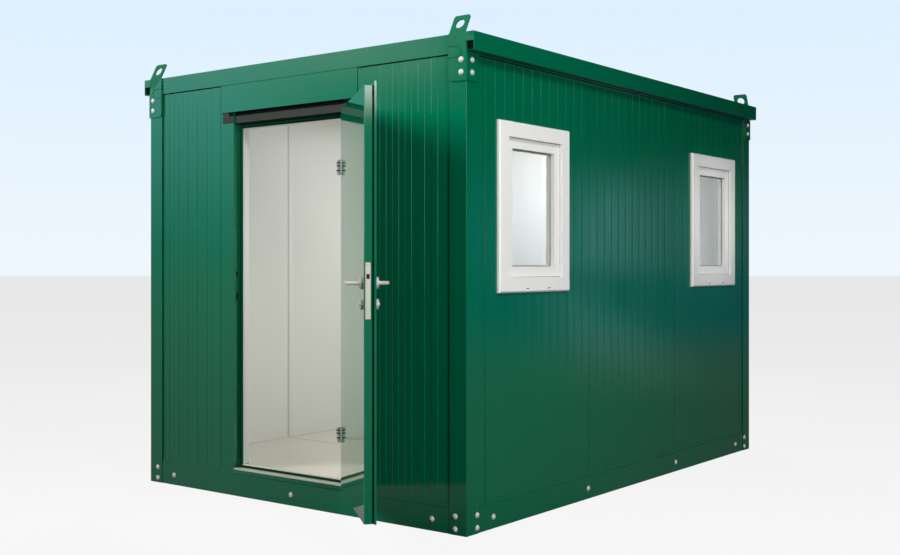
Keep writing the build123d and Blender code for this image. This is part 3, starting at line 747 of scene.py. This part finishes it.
def add_seams():
    """Rounded edge seams of the long walls' sheets, dark seals along the walls' side edges, and black strips as
    painted shade under the roof beams.
    """
    seams, seals, beam_shades = bmesh.new(), bmesh.new(), bmesh.new()
    for name, wall in OUTSIDE.items():
        edge = POST_EDGE_X if name in GABLES else POST_EDGE_Y
        for sign in SIGNS:
            near, far = sorted((sign * edge, sign * (edge - SHEET_GAP / 2)))
            wall.block(seals, (near, 0, TRIM_TOP), (far, THIN, PANEL_TOP))
            if name in LONG_WALLS:
                middle = sign * (HALF_LENGTH - SIDE_SEAM_DISTANCE)
                low = (middle - SEAM_WIDTH / 2, SHEET_PROUD - STRIP_CROWN, TRIM_TOP)
                high = (middle + SEAM_WIDTH / 2, SHEET_PROUD + SEAM_RISE, SHEET_TOP)
                wall.block(seams, low, high, SEAM_BEVEL)
        # Black strips in the gap between the sheets' tops and the roof beams: painted shade under the beams.
        spans = [(-edge, edge)]
        if name == "front":
            spans = [(-edge, MODULE_LEFT), (MODULE_RIGHT, edge)]
        for start, end in spans:
            wall.block(beam_shades, (start, 0, SHEET_TOP), (end, THIN, PANEL_TOP))
    add_piece("sheet_seams", seams, panel_paint)
    add_piece("edge_seals", seals, joint_filler)
    add_piece("head_seals", beam_shades, black_rubber)


def add_lining():
    """White sheets inside the room, parted at the joints."""
    heights = (FLOOR_TOP, PANEL_TOP)
    edges = (-PANEL_INNER_Y, -LINING_JOINT_Y, LINING_JOINT_Y, PANEL_INNER_Y)
    for side in LONG_WALLS:
        for number, (start, end) in enumerate(zip(edges, edges[1:]), 1):
            opening = window_opening(start, end, WINDOW_LAP, -1) if side == "right" else None
            section = [(start + LINING_GAP / 2, LINING_PROUD), (end - LINING_GAP / 2, LINING_PROUD)]
            add_sheet(f"{side}_lining_{number}", INSIDE[side], section, heights, "inner_lining", opening)
    gables = {
        "rear_lining": ("rear", -PANEL_INNER_X, PANEL_INNER_X, FLOOR_TOP),
        "front_lining_right": ("front", -PANEL_INNER_X, -MODULE_RIGHT, FLOOR_TOP),
        "front_lining_left": ("front", -MODULE_LEFT, PANEL_INNER_X, FLOOR_TOP),
        "front_lining_head": ("front", -MODULE_RIGHT, -MODULE_LEFT, HEAD_BOTTOM),
    }
    for name, (gable, start, end, bottom) in gables.items():
        section = [(start, LINING_PROUD), (end, LINING_PROUD)]
        add_sheet(name, INSIDE[gable], section, (bottom, PANEL_TOP), "inner_lining")


def add_room_trim():
    """Cover strips on the lining's joints, sealant along the floor and the floor's seams."""
    strips, sealant, seams = bmesh.new(), bmesh.new(), bmesh.new()
    for side in LONG_WALLS:
        for sign in SIGNS:
            near, far = sorted((sign * LINING_JOINT_Y, sign * (LINING_JOINT_Y - COVER_STRIP_WIDTH)))
            low = (near + LINING_GAP, LINING_PROUD, FLOOR_TOP)
            high = (far - LINING_GAP, LINING_PROUD + COVER_STRIP_RISE, PANEL_TOP)
            INSIDE[side].block(strips, low, high, THIN / 2)
    for name, reach in (("left", PANEL_INNER_Y), ("right", PANEL_INNER_Y), ("rear", PANEL_INNER_X)):
        high = (reach, BEAD_SIZE, FLOOR_TOP + BEAD_SIZE)
        INSIDE[name].block(sealant, (-reach, LINING_PROUD, FLOOR_TOP), high, THIN)
    for middle in (-LINING_JOINT_Y, LINING_JOINT_Y):
        low = (-PANEL_INNER_X + BEAD_SIZE, middle - SEAM_LINE_WIDTH / 2, FLOOR_TOP)
        high = (PANEL_INNER_X - BEAD_SIZE, middle + SEAM_LINE_WIDTH / 2, FLOOR_TOP + THIN / 2)
        add_block(seams, low, high)
    add_piece("lining_strips", strips, lining_sheet)
    add_piece("floor_sealant", sealant, white_sealant)
    add_piece("floor_seams", seams, grey_sealant)


# Steel frame and roof
def bolt_profile(radius):
    """(radius, height) points of a washer and a domed head."""
    washer, washer_height, dome = radius * WASHER_SHARE, radius * WASHER_HEIGHT_SHARE, radius * DOME_SHARE
    profile = [(washer, 0), (washer, washer_height * WASHER_EDGE_SHARE), (radius, washer_height)]
    for step in range(1, DOME_STEPS):
        angle = step * pi / 2 / DOME_STEPS
        profile.append((radius * cos(angle), washer_height + dome * sin(angle)))
    return [*profile, (0, washer_height + dome)]


def add_bolts():
    """Galvanised dome bolts of the posts, beams and brackets."""
    mesh = bmesh.new()
    front, side, bolts = [], [], []
    for height in FOOT_BOLT_HEIGHTS:
        front.append((HALF_WIDTH - FRONT_FOOT_BOLT_INSET, HALF_LENGTH, height))
        side.append((HALF_WIDTH, HALF_LENGTH - SIDE_FOOT_BOLT_INSET, height))
    for height in BRACKET_BOLT_HEIGHTS:
        front.append((HALF_WIDTH - FRONT_BRACKET_BOLT_INSET, BRACKET_FACE_Y, height))
        side.append((BRACKET_FACE_X, HALF_LENGTH - SIDE_BRACKET_BOLT_INSET, height))
    for across, end in SQUARE:
        for places, axis in ((front, (0, end, 0)), (side, (across, 0, 0))):
            bolts += [((across * x, end * y, height), axis) for x, y, height in places]
    for sign in SIGNS:
        for share in SIDE_BEAM_BOLT_SHARES:
            bolts.append(((sign * BEAM_FACE_X, share * 2 * HALF_LENGTH, BEAM_BOLT_HEIGHT), (sign, 0, 0)))
        for share in FRONT_BEAM_BOLT_SHARES:
            bolts.append(((share * 2 * HALF_WIDTH, sign * BEAM_FACE_Y, BEAM_BOLT_HEIGHT), (0, sign, 0)))
    for place, axis in bolts:
        add_lathe(mesh, bolt_profile(BOLT_RADIUS), place, axis)
    add_piece("frame_bolts", mesh, galvanised, sharp=BOLT_SHARP_ANGLE)


def add_bracket_beads():
    """Pressed bead and small screw on the front plate of each lifting bracket."""
    beads, screws = bmesh.new(), bmesh.new()
    path = [(BRACKET_BEAD_INSET, BRACKET_BEAD_TURN)]
    for step in range(BRACKET_BEAD_STEPS + 1):
        angle = step * pi / BRACKET_BEAD_STEPS
        bend = BRACKET_BEAD_INSET - BRACKET_BEAD_LENGTH - BRACKET_BEAD_TURN * sin(angle)
        path.append((bend, BRACKET_BEAD_TURN * cos(angle)))
    path.append((BRACKET_BEAD_INSET, -BRACKET_BEAD_TURN))
    for across, end in SQUARE:
        out, face = Vector((0, end, 0)), end * BRACKET_FACE_Y
        points = [Vector((across * (HALF_WIDTH - x), face, BRACKET_BEAD_HEIGHT + z)) for x, z in path]
        add_tube(beads, points, BRACKET_BEAD_RADIUS, out)
        place = (across * (HALF_WIDTH - BRACKET_SCREW_INSET), face, BRACKET_SCREW_HEIGHT)
        add_lathe(screws, bolt_profile(BRACKET_SCREW_RADIUS), place, out, segments=12)
    add_piece("bracket_beads", beads, frame_paint)
    add_piece("bracket_screws", screws, frame_paint)


def add_gutter_shade():
    """Black blocks inside the gutters, behind the open half of their ends: painted shade in the hollow."""
    mesh = bmesh.new()
    bottom, top = gutter_low.z + GUTTER_WALL, gutter_high.z - GUTTER_PLATE + 2 * GUTTER_WALL
    near, far = HALF_WIDTH + 2 * GUTTER_WALL, gutter_high.x - 1.5 * GUTTER_WALL
    reach = gutter_high.y - GUTTER_SHADE_RECESS
    for across, end in SQUARE:
        low_x, high_x = sorted((across * near, across * far))
        low_y, high_y = sorted((end * reach, end * (reach - GUTTER_SHADE_LENGTH)))
        add_block(mesh, (low_x, low_y, bottom), (high_x, high_y, top), MM)
    add_piece("gutter_stops", mesh, black_rubber)


def add_roof_ribs():
    """Ribs of the roof sheet, from the ridge down to the eaves."""
    mesh = bmesh.new()
    profile = ((-RIB_FOOT / 2, 0), (-RIB_CREST / 2, RIB_RISE), (RIB_CREST / 2, RIB_RISE), (RIB_FOOT / 2, 0))
    count = int(2 * roof_high.y / RIB_PITCH)
    for number in range(count):
        middle = (number - (count - 1) / 2) * RIB_PITCH
        for across in SIGNS:
            ends = ((0, roof_high.z), (across * RIB_EAVES_X, roof_low.z + RIB_EAVES_LIFT))
            ridge, eaves = [
                [mesh.verts.new((x, middle + y, z + lift)) for y, lift in profile] for x, z in ends
            ]
            bridge(mesh, ridge, eaves)
            mesh.faces.new(eaves)
    bmesh.ops.recalc_face_normals(mesh, faces=mesh.faces)
    add_piece("roof_ribs", mesh, roof_zinc)


# Windows
def shrink(size, margin):
    """A (width, height) less a margin on every side."""
    return (size[0] - 2 * margin, size[1] - 2 * margin)


def add_window_details():
    """Gaskets, spacer bars and drain caps of both windows, with black painted shade under the caps."""
    wall = OUTSIDE["right"]
    gaskets, spacers, caps, drain_shades = bmesh.new(), bmesh.new(), bmesh.new(), bmesh.new()
    for along, height, width, tall in WINDOWS.values():
        middle = (along, height)
        sash = shrink((width, tall), FRAME_FACE)
        pane = shrink(sash, SASH_FACE)
        bar = shrink(pane, GASKET / 2)
        spacer_face = GLASS_PROUD - SPACER_GAP
        wall.ring(gaskets, middle, pane, shrink(pane, GASKET), GLASS_PROUD, GLASS_PROUD + GASKET / 2)
        wall.ring(gaskets, middle, sash, shrink(sash, GASKET / 2), SASH_PROUD, SASH_PROUD + GASKET / 4)
        wall.ring(spacers, middle, bar, shrink(bar, SPACER), spacer_face - SPACER_DEPTH, spacer_face)
        level = height - tall / 2 + CAP_LIFT
        for share in CAP_SHARES:
            place = along + share * width
            low = (place - CAP_WIDTH / 2, FRAME_PROUD, level)
            high = (place + CAP_WIDTH / 2, FRAME_PROUD + CAP_PROUD, level + CAP_HEIGHT)
            wall.block(caps, low, high, CAP_BEVEL)
            # A black plate under each cap: painted shade of the drain slot.
            low = (place - DRAIN_WIDTH / 2, FRAME_PROUD, level - DRAIN_DROP)
            high = (place + DRAIN_WIDTH / 2, FRAME_PROUD + DRAIN_PROUD, level + THIN)
            wall.block(drain_shades, low, high)
    add_piece("window_gaskets", gaskets, grey_sealant)
    add_piece("window_spacers", spacers, spacer_metal)
    add_piece("drain_caps", caps, white_plastic)
    add_piece("drain_slots", drain_shades, black_rubber)


# Door surround
def add_door_head():
    """Black painted shade under the drip lip and on the rebate, the grey band with its ends over the jambs, seal
    and joints.
    """
    shade_blocks, band, seal, joints = bmesh.new(), bmesh.new(), bmesh.new(), bmesh.new()
    gap = THIN / 2
    left, right, top = OPENING_LEFT + gap, OPENING_RIGHT - gap, HEAD_BOTTOM - gap
    # A black block above the band: painted shade under the drip lip.
    add_block(shade_blocks, (left, BAND_FACE_Y + SHADE_BLOCK_INSET, BAND_TOP + gap), (right, REBATE_Y - gap, top))
    add_block(band, (left, BAND_FACE_Y - THIN, BAND_BOTTOM + gap), (right, BAND_FACE_Y, BAND_TOP))
    left, right, face = OPENING_LEFT - gap, OPENING_RIGHT + gap, DOOR_FACE_Y - THIN
    for start, end in ((BAND_LEFT, left), (right, BAND_RIGHT)):
        add_block(band, (start, face, BAND_BOTTOM), (end, DOOR_FACE_Y, top), THIN / 4)
    # Black plates on the jambs beside the opening: painted shadow of the drip lip.
    for start, end in ((SHADE_LEFT, left), (right, BAND_RIGHT)):
        add_block(shade_blocks, (start, face - gap, BAND_TOP), (end, face, top))
    # The seal's dark green also stands in for the band's shadow on the rebate face, and the black strip below it
    # is painted shade.
    bottom, top = CLEAR_TOP + HEAD_SEAL_LIFT, BAND_BOTTOM - HEAD_SEAL_GAP
    low, high = (CLEAR_LEFT, REBATE_Y - HEAD_SEAL_DEPTH, bottom), (CLEAR_RIGHT, REBATE_Y, top)
    add_block(seal, low, high, HEAD_SEAL_BEVEL)
    add_block(shade_blocks, (CLEAR_LEFT, REBATE_Y - THIN, CLEAR_TOP), (CLEAR_RIGHT, REBATE_Y, bottom - MM))
    face, joint = DOOR_FACE_Y - gap, PANEL_TOP - HEAD_JOINT_WIDTH
    add_block(joints, (MODULE_LEFT, face, joint), (MODULE_RIGHT, DOOR_FACE_Y, PANEL_TOP), THIN / 5)
    high = (MODULE_LEFT + HEAD_JOINT_WIDTH, DOOR_FACE_Y, joint)
    add_block(joints, (MODULE_LEFT, face, TRIM_TOP), high, THIN / 5)
    add_piece("head_joints", joints, joint_filler)
    add_piece("head_recess", shade_blocks, black_rubber)
    add_piece("head_band", band, grey_band)
    add_piece("head_seal", seal, green_seal)


def add_threshold():
    """Green nosing, dark riser seal and floor edge of the door's threshold."""
    nosing, riser, edge = bmesh.new(), bmesh.new(), bmesh.new()
    face, stop = DOOR_FACE_Y - THIN, REBATE_Y - THIN
    foot, lip = PANEL_BOTTOM + NOSING_LIFT, STOP_TOP - FLOOR_EDGE_HEIGHT
    high = (OPENING_RIGHT, DOOR_FACE_Y, THRESHOLD_TOP - NOSING_DROP)
    add_block(nosing, (OPENING_LEFT, face, foot), high, THIN / 3)
    add_block(riser, (CLEAR_LEFT, stop, THRESHOLD_TOP), (CLEAR_RIGHT, REBATE_Y, lip))
    add_block(riser, (OPENING_LEFT, face, PANEL_BOTTOM), (OPENING_RIGHT, DOOR_FACE_Y, foot))
    add_block(edge, (CLEAR_LEFT, stop, lip), (CLEAR_RIGHT, -PANEL_INNER_Y, STOP_TOP + THIN), THIN / 3)
    add_piece("threshold_nosing", nosing, frame_paint)
    add_piece("threshold_seal", riser, green_seal)
    add_piece("floor_edge", edge, floor_vinyl)


def add_casing():
    """White covers on the room side of the door frame, open at the hinge pockets."""
    mesh = bmesh.new()
    start, lower = REBATE_Y + CASING_GAP, STOP_TOP + 2 * THIN
    levels = [lower]
    for height in HINGE_HEIGHTS:
        levels += [height - POCKET_REACH, height + POCKET_REACH]
    levels.append(CLEAR_TOP)
    back = CASING_Y + THIN
    covers = [
        ((CLEAR_LEFT, start, lower), (CLEAR_LEFT + THIN, CASING_Y, CLEAR_TOP)),
        ((CLEAR_LEFT + THIN, start, CLEAR_TOP - THIN), (CLEAR_RIGHT - THIN, CASING_Y, CLEAR_TOP)),
        ((MODULE_LEFT, CASING_Y, FLOOR_TOP), (CLEAR_LEFT, back, HEAD_BOTTOM)),
        ((CLEAR_RIGHT, CASING_Y, FLOOR_TOP), (MODULE_RIGHT, back, HEAD_BOTTOM)),
        ((CLEAR_LEFT, CASING_Y, CLEAR_TOP), (CLEAR_RIGHT, back, HEAD_BOTTOM)),
    ]
    for number, (bottom, top) in enumerate(zip(levels, levels[1:])):
        pocket = number % 2 == 1
        front = -PANEL_INNER_Y if pocket else start
        covers.append(((CLEAR_RIGHT - THIN, front, bottom), (CLEAR_RIGHT, CASING_Y, top)))
    for low, high in covers:
        add_block(mesh, low, high, THIN / 4)
    add_piece("casing_covers", mesh, lining_sheet)


def add_striker():
    """Striker plate, with black plates as painted shade in its two holes, on the lock side of the rebate."""
    plate, hole_shades = bmesh.new(), bmesh.new()
    near, far, face = DOOR_FACE_Y + STRIKER_INSET, REBATE_Y - STRIKER_GAP, OPENING_LEFT + 2 * THIN
    low = (OPENING_LEFT, near, CYLINDER_HEIGHT - STRIKER_DROP)
    add_block(plate, low, (face, far, LATCH_HEIGHT + STRIKER_LIFT), THIN / 2)
    for height, reach in STRIKER_HOLES:
        low = (face, near + STRIKER_HOLE_INSET, height - reach)
        high = (face + STRIKER_HOLE_PROUD, far - STRIKER_HOLE_INSET, height + reach)
        add_block(hole_shades, low, high)
    add_piece("striker_plate", plate, frame_paint)
    add_piece("striker_holes", hole_shades, black_rubber)


# Door leaf, in its own frame: x runs from the hinge pin to the lock edge, y points outwards
hinge = frame["joints"][0]
opened = radians(-hinge["range_deg"][0])
leaf_axes = (Vector((-cos(opened), -sin(opened), 0)), Vector((sin(opened), -cos(opened), 0)), UP)
pin_x, pin_y = hinge["pos_m"][:2]
LEAF = Matrix.Translation((pin_x, pin_y, 0)) @ Matrix(leaf_axes).transposed().to_4x4()
leaf_points = [LEAF.inverted() @ vertex.co for vertex in frame["nodes"]["door_leaf"].data.vertices]
LEAF_LOW = Vector([min(point[axis] for point in leaf_points) for axis in range(3)])
LEAF_HIGH = Vector([max(point[axis] for point in leaf_points) for axis in range(3)])
CORE_LOW = Vector((LEAF_LOW.x + LEAF_LAP, LEAF_LOW.y, LEAF_LOW.z))
CORE_HIGH = Vector((LEAF_HIGH.x - LEAF_LAP, LEAF_HIGH.y - LEAF_SKIN - LEAF_GROOVE, LEAF_HIGH.z - LEAF_LAP))


def add_leaf_seal():
    """Dark seal in the groove around the leaf, between its core and its skin."""
    mesh = bmesh.new()
    gap = THIN / 2
    low_y, high_y = CORE_HIGH.y + gap, CORE_HIGH.y + LEAF_GROOVE - gap
    inner = LEAF_GROOVE_DEPTH - gap
    for start, end in ((CORE_LOW.x, CORE_LOW.x + inner), (CORE_HIGH.x - inner, CORE_HIGH.x)):
        add_block(mesh, (start, low_y, CORE_LOW.z), (end, high_y, CORE_HIGH.z), gap, LEAF)
    for start, end in ((CORE_LOW.z, CORE_LOW.z + inner), (CORE_HIGH.z - inner, CORE_HIGH.z)):
        add_block(mesh, (CORE_LOW.x + inner, low_y, start), (CORE_HIGH.x - inner, high_y, end), gap, LEAF)
    add_piece("leaf_seal", mesh, green_seal, "door")


def add_lock_details():
    """Latch and bolt in the faceplate, its screws, and the key slots of the cylinder as dark marks of painted
    shade.
    """
    dark, bright = bmesh.new(), bmesh.new()
    middle, edge = (CORE_LOW.y + CORE_HIGH.y) / 2, CORE_HIGH.x
    low = (edge - LATCH_FAR, middle - LATCH_HALF_DEPTH, LATCH_HEIGHT - LATCH_HALF_HEIGHT)
    high = (edge - LATCH_NEAR, middle + LATCH_HALF_DEPTH, LATCH_HEIGHT + LATCH_HALF_HEIGHT)
    add_block(dark, low, high, MM, LEAF)
    low = (edge, middle - LOCK_BOLT_HALF_DEPTH, CYLINDER_HEIGHT - LOCK_BOLT_HALF_HEIGHT)
    high = (edge + LOCK_BOLT_PROUD, middle + LOCK_BOLT_HALF_DEPTH, CYLINDER_HEIGHT + LOCK_BOLT_HALF_HEIGHT)
    add_block(bright, low, high, MM / 2, LEAF)
    for sign in SIGNS:
        place = LEAF @ Vector((edge, middle, FACEPLATE_MIDDLE + sign * FACEPLATE_SCREW_REACH))
        add_lathe(bright, bolt_profile(FACEPLATE_SCREW_RADIUS), place, leaf_axes[0], segments=12)
    handle = edge - HANDLE_BACKSET
    # Key slots: thin dark blocks, painted shade in place of open slots.
    for face, reach, sign in ((LEAF_HIGH.y, OUTER_PLUG_REACH, 1), (LEAF_LOW.y, INNER_PLUG_REACH, -1)):
        near, far = sorted((face + sign * reach, face + sign * (reach + THIN / 2)))
        low = (handle - THIN, near, CYLINDER_HEIGHT - KEY_SLOT_HALF_HEIGHT)
        high = (handle + THIN, far, CYLINDER_HEIGHT + KEY_SLOT_HALF_HEIGHT)
        add_block(dark, low, high, place=LEAF)
    add_piece("lock_recess", dark, brown_latch, "door")
    add_piece("lock_bolts", bright, satin_metal, "door")


def add_barrel_rings():
    """Black washers in the grooves of the hinge barrels; their black is also painted shade in the grooves."""
    mesh = bmesh.new()
    flat, corner = RING_HALF - RING_BEVEL, RING_RADIUS - RING_BEVEL
    upper = [(RING_RADIUS, flat), (corner, RING_HALF), (RING_BORE, RING_HALF)]
    profile = [(radius, -height) for radius, height in reversed(upper)] + upper
    for height in HINGE_HEIGHTS:
        for share in BARREL_RING_SHARES:
            level = height + share * HINGE_HEIGHT
            place = LEAF @ Vector((CORE_LOW.x + BARREL_INSET, CORE_LOW.y - BARREL_STANDOFF, level))
            add_lathe(mesh, profile, place, UP, segments=20)
    add_piece("barrel_rings", mesh, black_rubber, "door")


def dress_frame():
    """Give every CAD node the material of its slot, with softly broken edges on what shows."""
    for row in frame["record"]["subparts"]:
        node = frame["nodes"][row["node"]]
        slot = row["material_slot"]
        node.data.materials.clear()
        node.data.materials.append(SLOT_MATERIALS[slot])
        if slot in SOFT_EDGES and row["node"] not in KEPT_SHARP:
            weld = node.modifiers.new("weld", "WELD")
            weld.merge_threshold = WELD_DISTANCE
            bevel = node.modifiers.new("soft_edges", "BEVEL")
            bevel.width = POST_EDGE_RADIUS if row["node"].endswith("_post") else SOFT_EDGES[slot]
            bevel.segments = 2
            bevel.limit_method = "ANGLE"
            bevel.angle_limit = SOFT_EDGE_ANGLE
            node.modifiers.new("normals", "WEIGHTED_NORMAL")


# Stage
def floor_material():
    """Pale floor whose tone follows its depth; gloss mirrors it dimmer, with a lit lane on the right."""
    material, nodes, shader = new_material("studio_floor")
    place = nodes.add("ShaderNodeTexCoord").outputs["Object"]
    split = nodes.add("ShaderNodeSeparateXYZ", Vector=place)
    beside, ahead = split.outputs["X"], split.outputs["Y"]
    path = nodes.add("ShaderNodeLightPath")
    camera, glossy = path.outputs["Is Camera Ray"], path.outputs["Is Glossy Ray"]
    base = nodes.mix(camera, FLOOR_BOUNCE, FLOOR_SEEN)
    nodes.fill(shader, {"Base Color": base, "Roughness": FLOOR_ROUGHNESS})
    closeness = nodes.math("DIVIDE", 1.0, nodes.larger(ahead, 1.0))
    near = nodes.ramp(closeness, [1 / depth for depth in TONE_DEPTHS])
    lane = nodes.math("SUBTRACT", ahead, nodes.times(beside, LANE_SLOPE))
    lit_lane = nodes.smaller(nodes.ramp(lane, LANE_START), nodes.ramp(lane, LANE_END, 1.0, LANE_AFTER))
    far = nodes.ramp(beside, FAR_EDGE)
    close = nodes.ramp(beside, CLOSE_EDGE, *CLOSE_LEVELS)
    right = nodes.choose(far, close, nodes.larger(lit_lane, LANE_LEAST))
    mirrored = nodes.choose(nodes.ramp(beside, RIGHT_EDGE), LEFT_LEVEL, right)
    far_tint = nodes.mix(lit_lane, MIRRORED_BLUE, MIRRORED_TINT)
    colour = nodes.mix(nodes.times(glossy, far), nodes.mix(near, FLOOR_FAR, FLOOR_NEAR), far_tint)
    glow = nodes.add("ShaderNodeEmission", Color=colour, Strength=nodes.choose(glossy, 1.0, mirrored))
    seen = nodes.larger(camera, path.outputs["Is Transmission Ray"])
    mix_surface(material, nodes, nodes.larger(nodes.times(seen, FLOOR_GLOW), glossy), shader, glow)
    return material


def add_floor():
    """Studio floor that ends far behind the cabin; its Y axis is the camera's depth."""
    mesh = bmesh.new()
    mesh.faces.new([mesh.verts.new((side * FLOOR_WIDTH, depth * FLOOR_DEPTH, 0)) for side, depth in SQUARE])
    data = bpy.data.meshes.new("studio_floor")
    mesh.to_mesh(data)
    mesh.free()
    data.materials.append(floor_material())
    ground = add_object("studio_floor", data)
    ground.location = (*CAMERA_PLACE[:2], 0)
    ground.rotation_euler = (0, 0, CAMERA_YAW)


def add_camera():
    """Camera at the photograph's viewpoint."""
    camera = add_object("camera", bpy.data.cameras.new("camera"))
    camera.location = CAMERA_PLACE
    camera.rotation_euler = (radians(90), 0, CAMERA_YAW)
    camera.data.lens = CAMERA_LENS
    camera.data.shift_y = CAMERA_SHIFT
    camera.data.clip_end = CAMERA_CLIP
    bpy.context.scene.camera = camera
    bpy.context.scene.view_settings.view_transform = "Standard"


def add_light(name, place, target, size, power, spread=180):
    """A soft square lamp aimed at a point, which neither the camera nor the gloss shows."""
    lamp = bpy.data.lights.new(name, "AREA")
    lamp.shape = "SQUARE"
    lamp.size = size
    lamp.energy = power
    lamp.spread = radians(spread)
    light = add_object(name, lamp)
    light.location = place
    light.rotation_mode = "QUATERNION"
    light.rotation_quaternion = (Vector(target) - Vector(place)).to_track_quat("-Z", "Y")
    light.visible_camera = False
    light.visible_glossy = False
    light.visible_transmission = False


def add_lights():
    """Lamps before the front and the window wall, one behind the cabin and three in the room."""
    far_window = (HALF_WIDTH, *WINDOWS["rear"][:2])
    under_ceiling = (0, 0, PANEL_TOP - 30 * MM)
    add_light("key", (-3.2, -6.5, 4.9), target=(0.5, -1.7, 2.4), size=3.0, power=98, spread=66)
    add_light("fill_high", (5.0, -3.6, 5.6), target=(1.2, -0.6, 1.4), size=1.6, power=80, spread=110)
    add_light("fill_low", (6.0, -4.0, 1.7), target=(1.2, -0.7, 1.4), size=2.0, power=60, spread=110)
    add_light("fill_far", (4.7, 2.2, 1.75), target=far_window, size=0.4, power=0.64, spread=17)
    add_light("back_high", (-5.4, 5.6, 4.6), target=(-0.6, 0.8, 1.2), size=2.4, power=230, spread=120)
    add_light("room_top", under_ceiling, target=(0, 0, 0), size=1.8, power=10.5)
    add_light("room_side", (0.8, -0.5, 1.0), target=(-1.0, -0.7, 0.7), size=1.3, power=11.5)
    add_light("room_rear", (-0.2, 0.6, 2.13), target=(-0.4, 1.63, 2.05), size=0.36, power=14.0)


def toward(nodes, direction, heading):
    """How far a direction points towards a heading, given in degrees from +X."""
    product = nodes.add("ShaderNodeVectorMath")
    product.operation = "DOT_PRODUCT"
    nodes.feed(product.inputs[0], direction)
    product.inputs[1].default_value = (cos(radians(heading)), sin(radians(heading)), 0)
    return product.outputs["Value"]


def add_world():
    """Pale sky for what is seen; gloss mirrors bright patches left, ahead and above, and a dim back."""
    world = bpy.data.worlds.new("studio")
    bpy.context.scene.world = world
    world.use_nodes = True
    nodes = Nodes(world.node_tree)
    direction = nodes.add("ShaderNodeTexCoord").outputs["Generated"]
    height = nodes.add("ShaderNodeSeparateXYZ", Vector=direction).outputs["Z"]
    sky = nodes.mix(nodes.ramp(height, SKY_RISE), SKY_LOW, SKY_HIGH)

    leftward = toward(nodes, direction, BRIGHT_HEADING)
    bright = nodes.times(nodes.ramp(leftward, BRIGHT_EDGE), nodes.ramp(height, BRIGHT_RISE, *BRIGHT_LEVELS))
    top = nodes.times(nodes.ramp(leftward, TOP_EDGE), nodes.ramp(height, TOP_RISE))
    glints = [
        nodes.ramp(toward(nodes, direction, heading), GLINT_EDGE, high=GLINT_LEVEL)
        for heading in GLINT_HEADINGS
    ]
    glint = nodes.larger(*glints)
    facing = nodes.ramp(toward(nodes, direction, FACING_HEADING), FACING_EDGE)
    dim, full = FACING_LEVELS
    facing_rise = nodes.ramp(height, FACING_RISE, dim, full)
    facing_level = nodes.smaller(facing_rise, nodes.ramp(height, FACING_FALL, full, 0.0))
    overhead = nodes.ramp(height, OVERHEAD_RISE)
    front_level = nodes.larger(bright, nodes.times(top, TOP_LEVEL))
    front_level = nodes.larger(front_level, nodes.times(glint, nodes.ramp(height, GLINT_RISE)))
    front_level = nodes.larger(front_level, nodes.times(facing, facing_level))
    front_level = nodes.choose(overhead, front_level, OVERHEAD_LEVEL)

    backward = toward(nodes, direction, BACK_HEADING)
    behind, back = nodes.ramp(backward, BEHIND_EDGE), nodes.ramp(backward, BACK_EDGE)
    fade = nodes.ramp(backward, FADE_EDGE, 1.0, FADE_LEVEL)
    back_level = nodes.times(nodes.ramp(height, BACK_FALL, BACK_LEVEL, 0.0), fade)
    back_level = nodes.times(back_level, nodes.larger(back, BACK_LEAST))
    level = nodes.choose(behind, front_level, back_level)

    near_side = nodes.times(behind, nodes.math("SUBTRACT", 1.0, back))
    frontal = nodes.larger(facing, nodes.smaller(glint, 1.0))
    mirrored = nodes.mix(near_side, MIRRORED_TINT, MIRRORED_BLUE)
    mirrored = nodes.mix(top, mirrored, MIRRORED_TOP)
    mirrored = nodes.mix(nodes.larger(frontal, overhead), mirrored, MIRRORED_WHITE)

    path = nodes.add("ShaderNodeLightPath")
    glossy = path.outputs["Is Glossy Ray"]
    seen = nodes.larger(path.outputs["Is Camera Ray"], glossy)
    seen = nodes.larger(seen, path.outputs["Is Transmission Ray"])
    nodes.fill(world.node_tree.nodes["Background"], {
        "Color": nodes.mix(glossy, sky, mirrored),
        "Strength": nodes.choose(seen, AMBIENT_LEVEL, nodes.choose(glossy, 1.0, level)),
    })


dress_frame()
add_outer_sheets()
add_seams()
add_lining()
add_room_trim()
add_bolts()
add_bracket_beads()
add_gutter_shade()
add_roof_ribs()
add_window_details()
add_door_head()
add_threshold()
add_casing()
add_striker()
add_leaf_seal()
add_lock_details()
add_barrel_rings()

add_floor()
add_camera()
add_lights()
add_world()
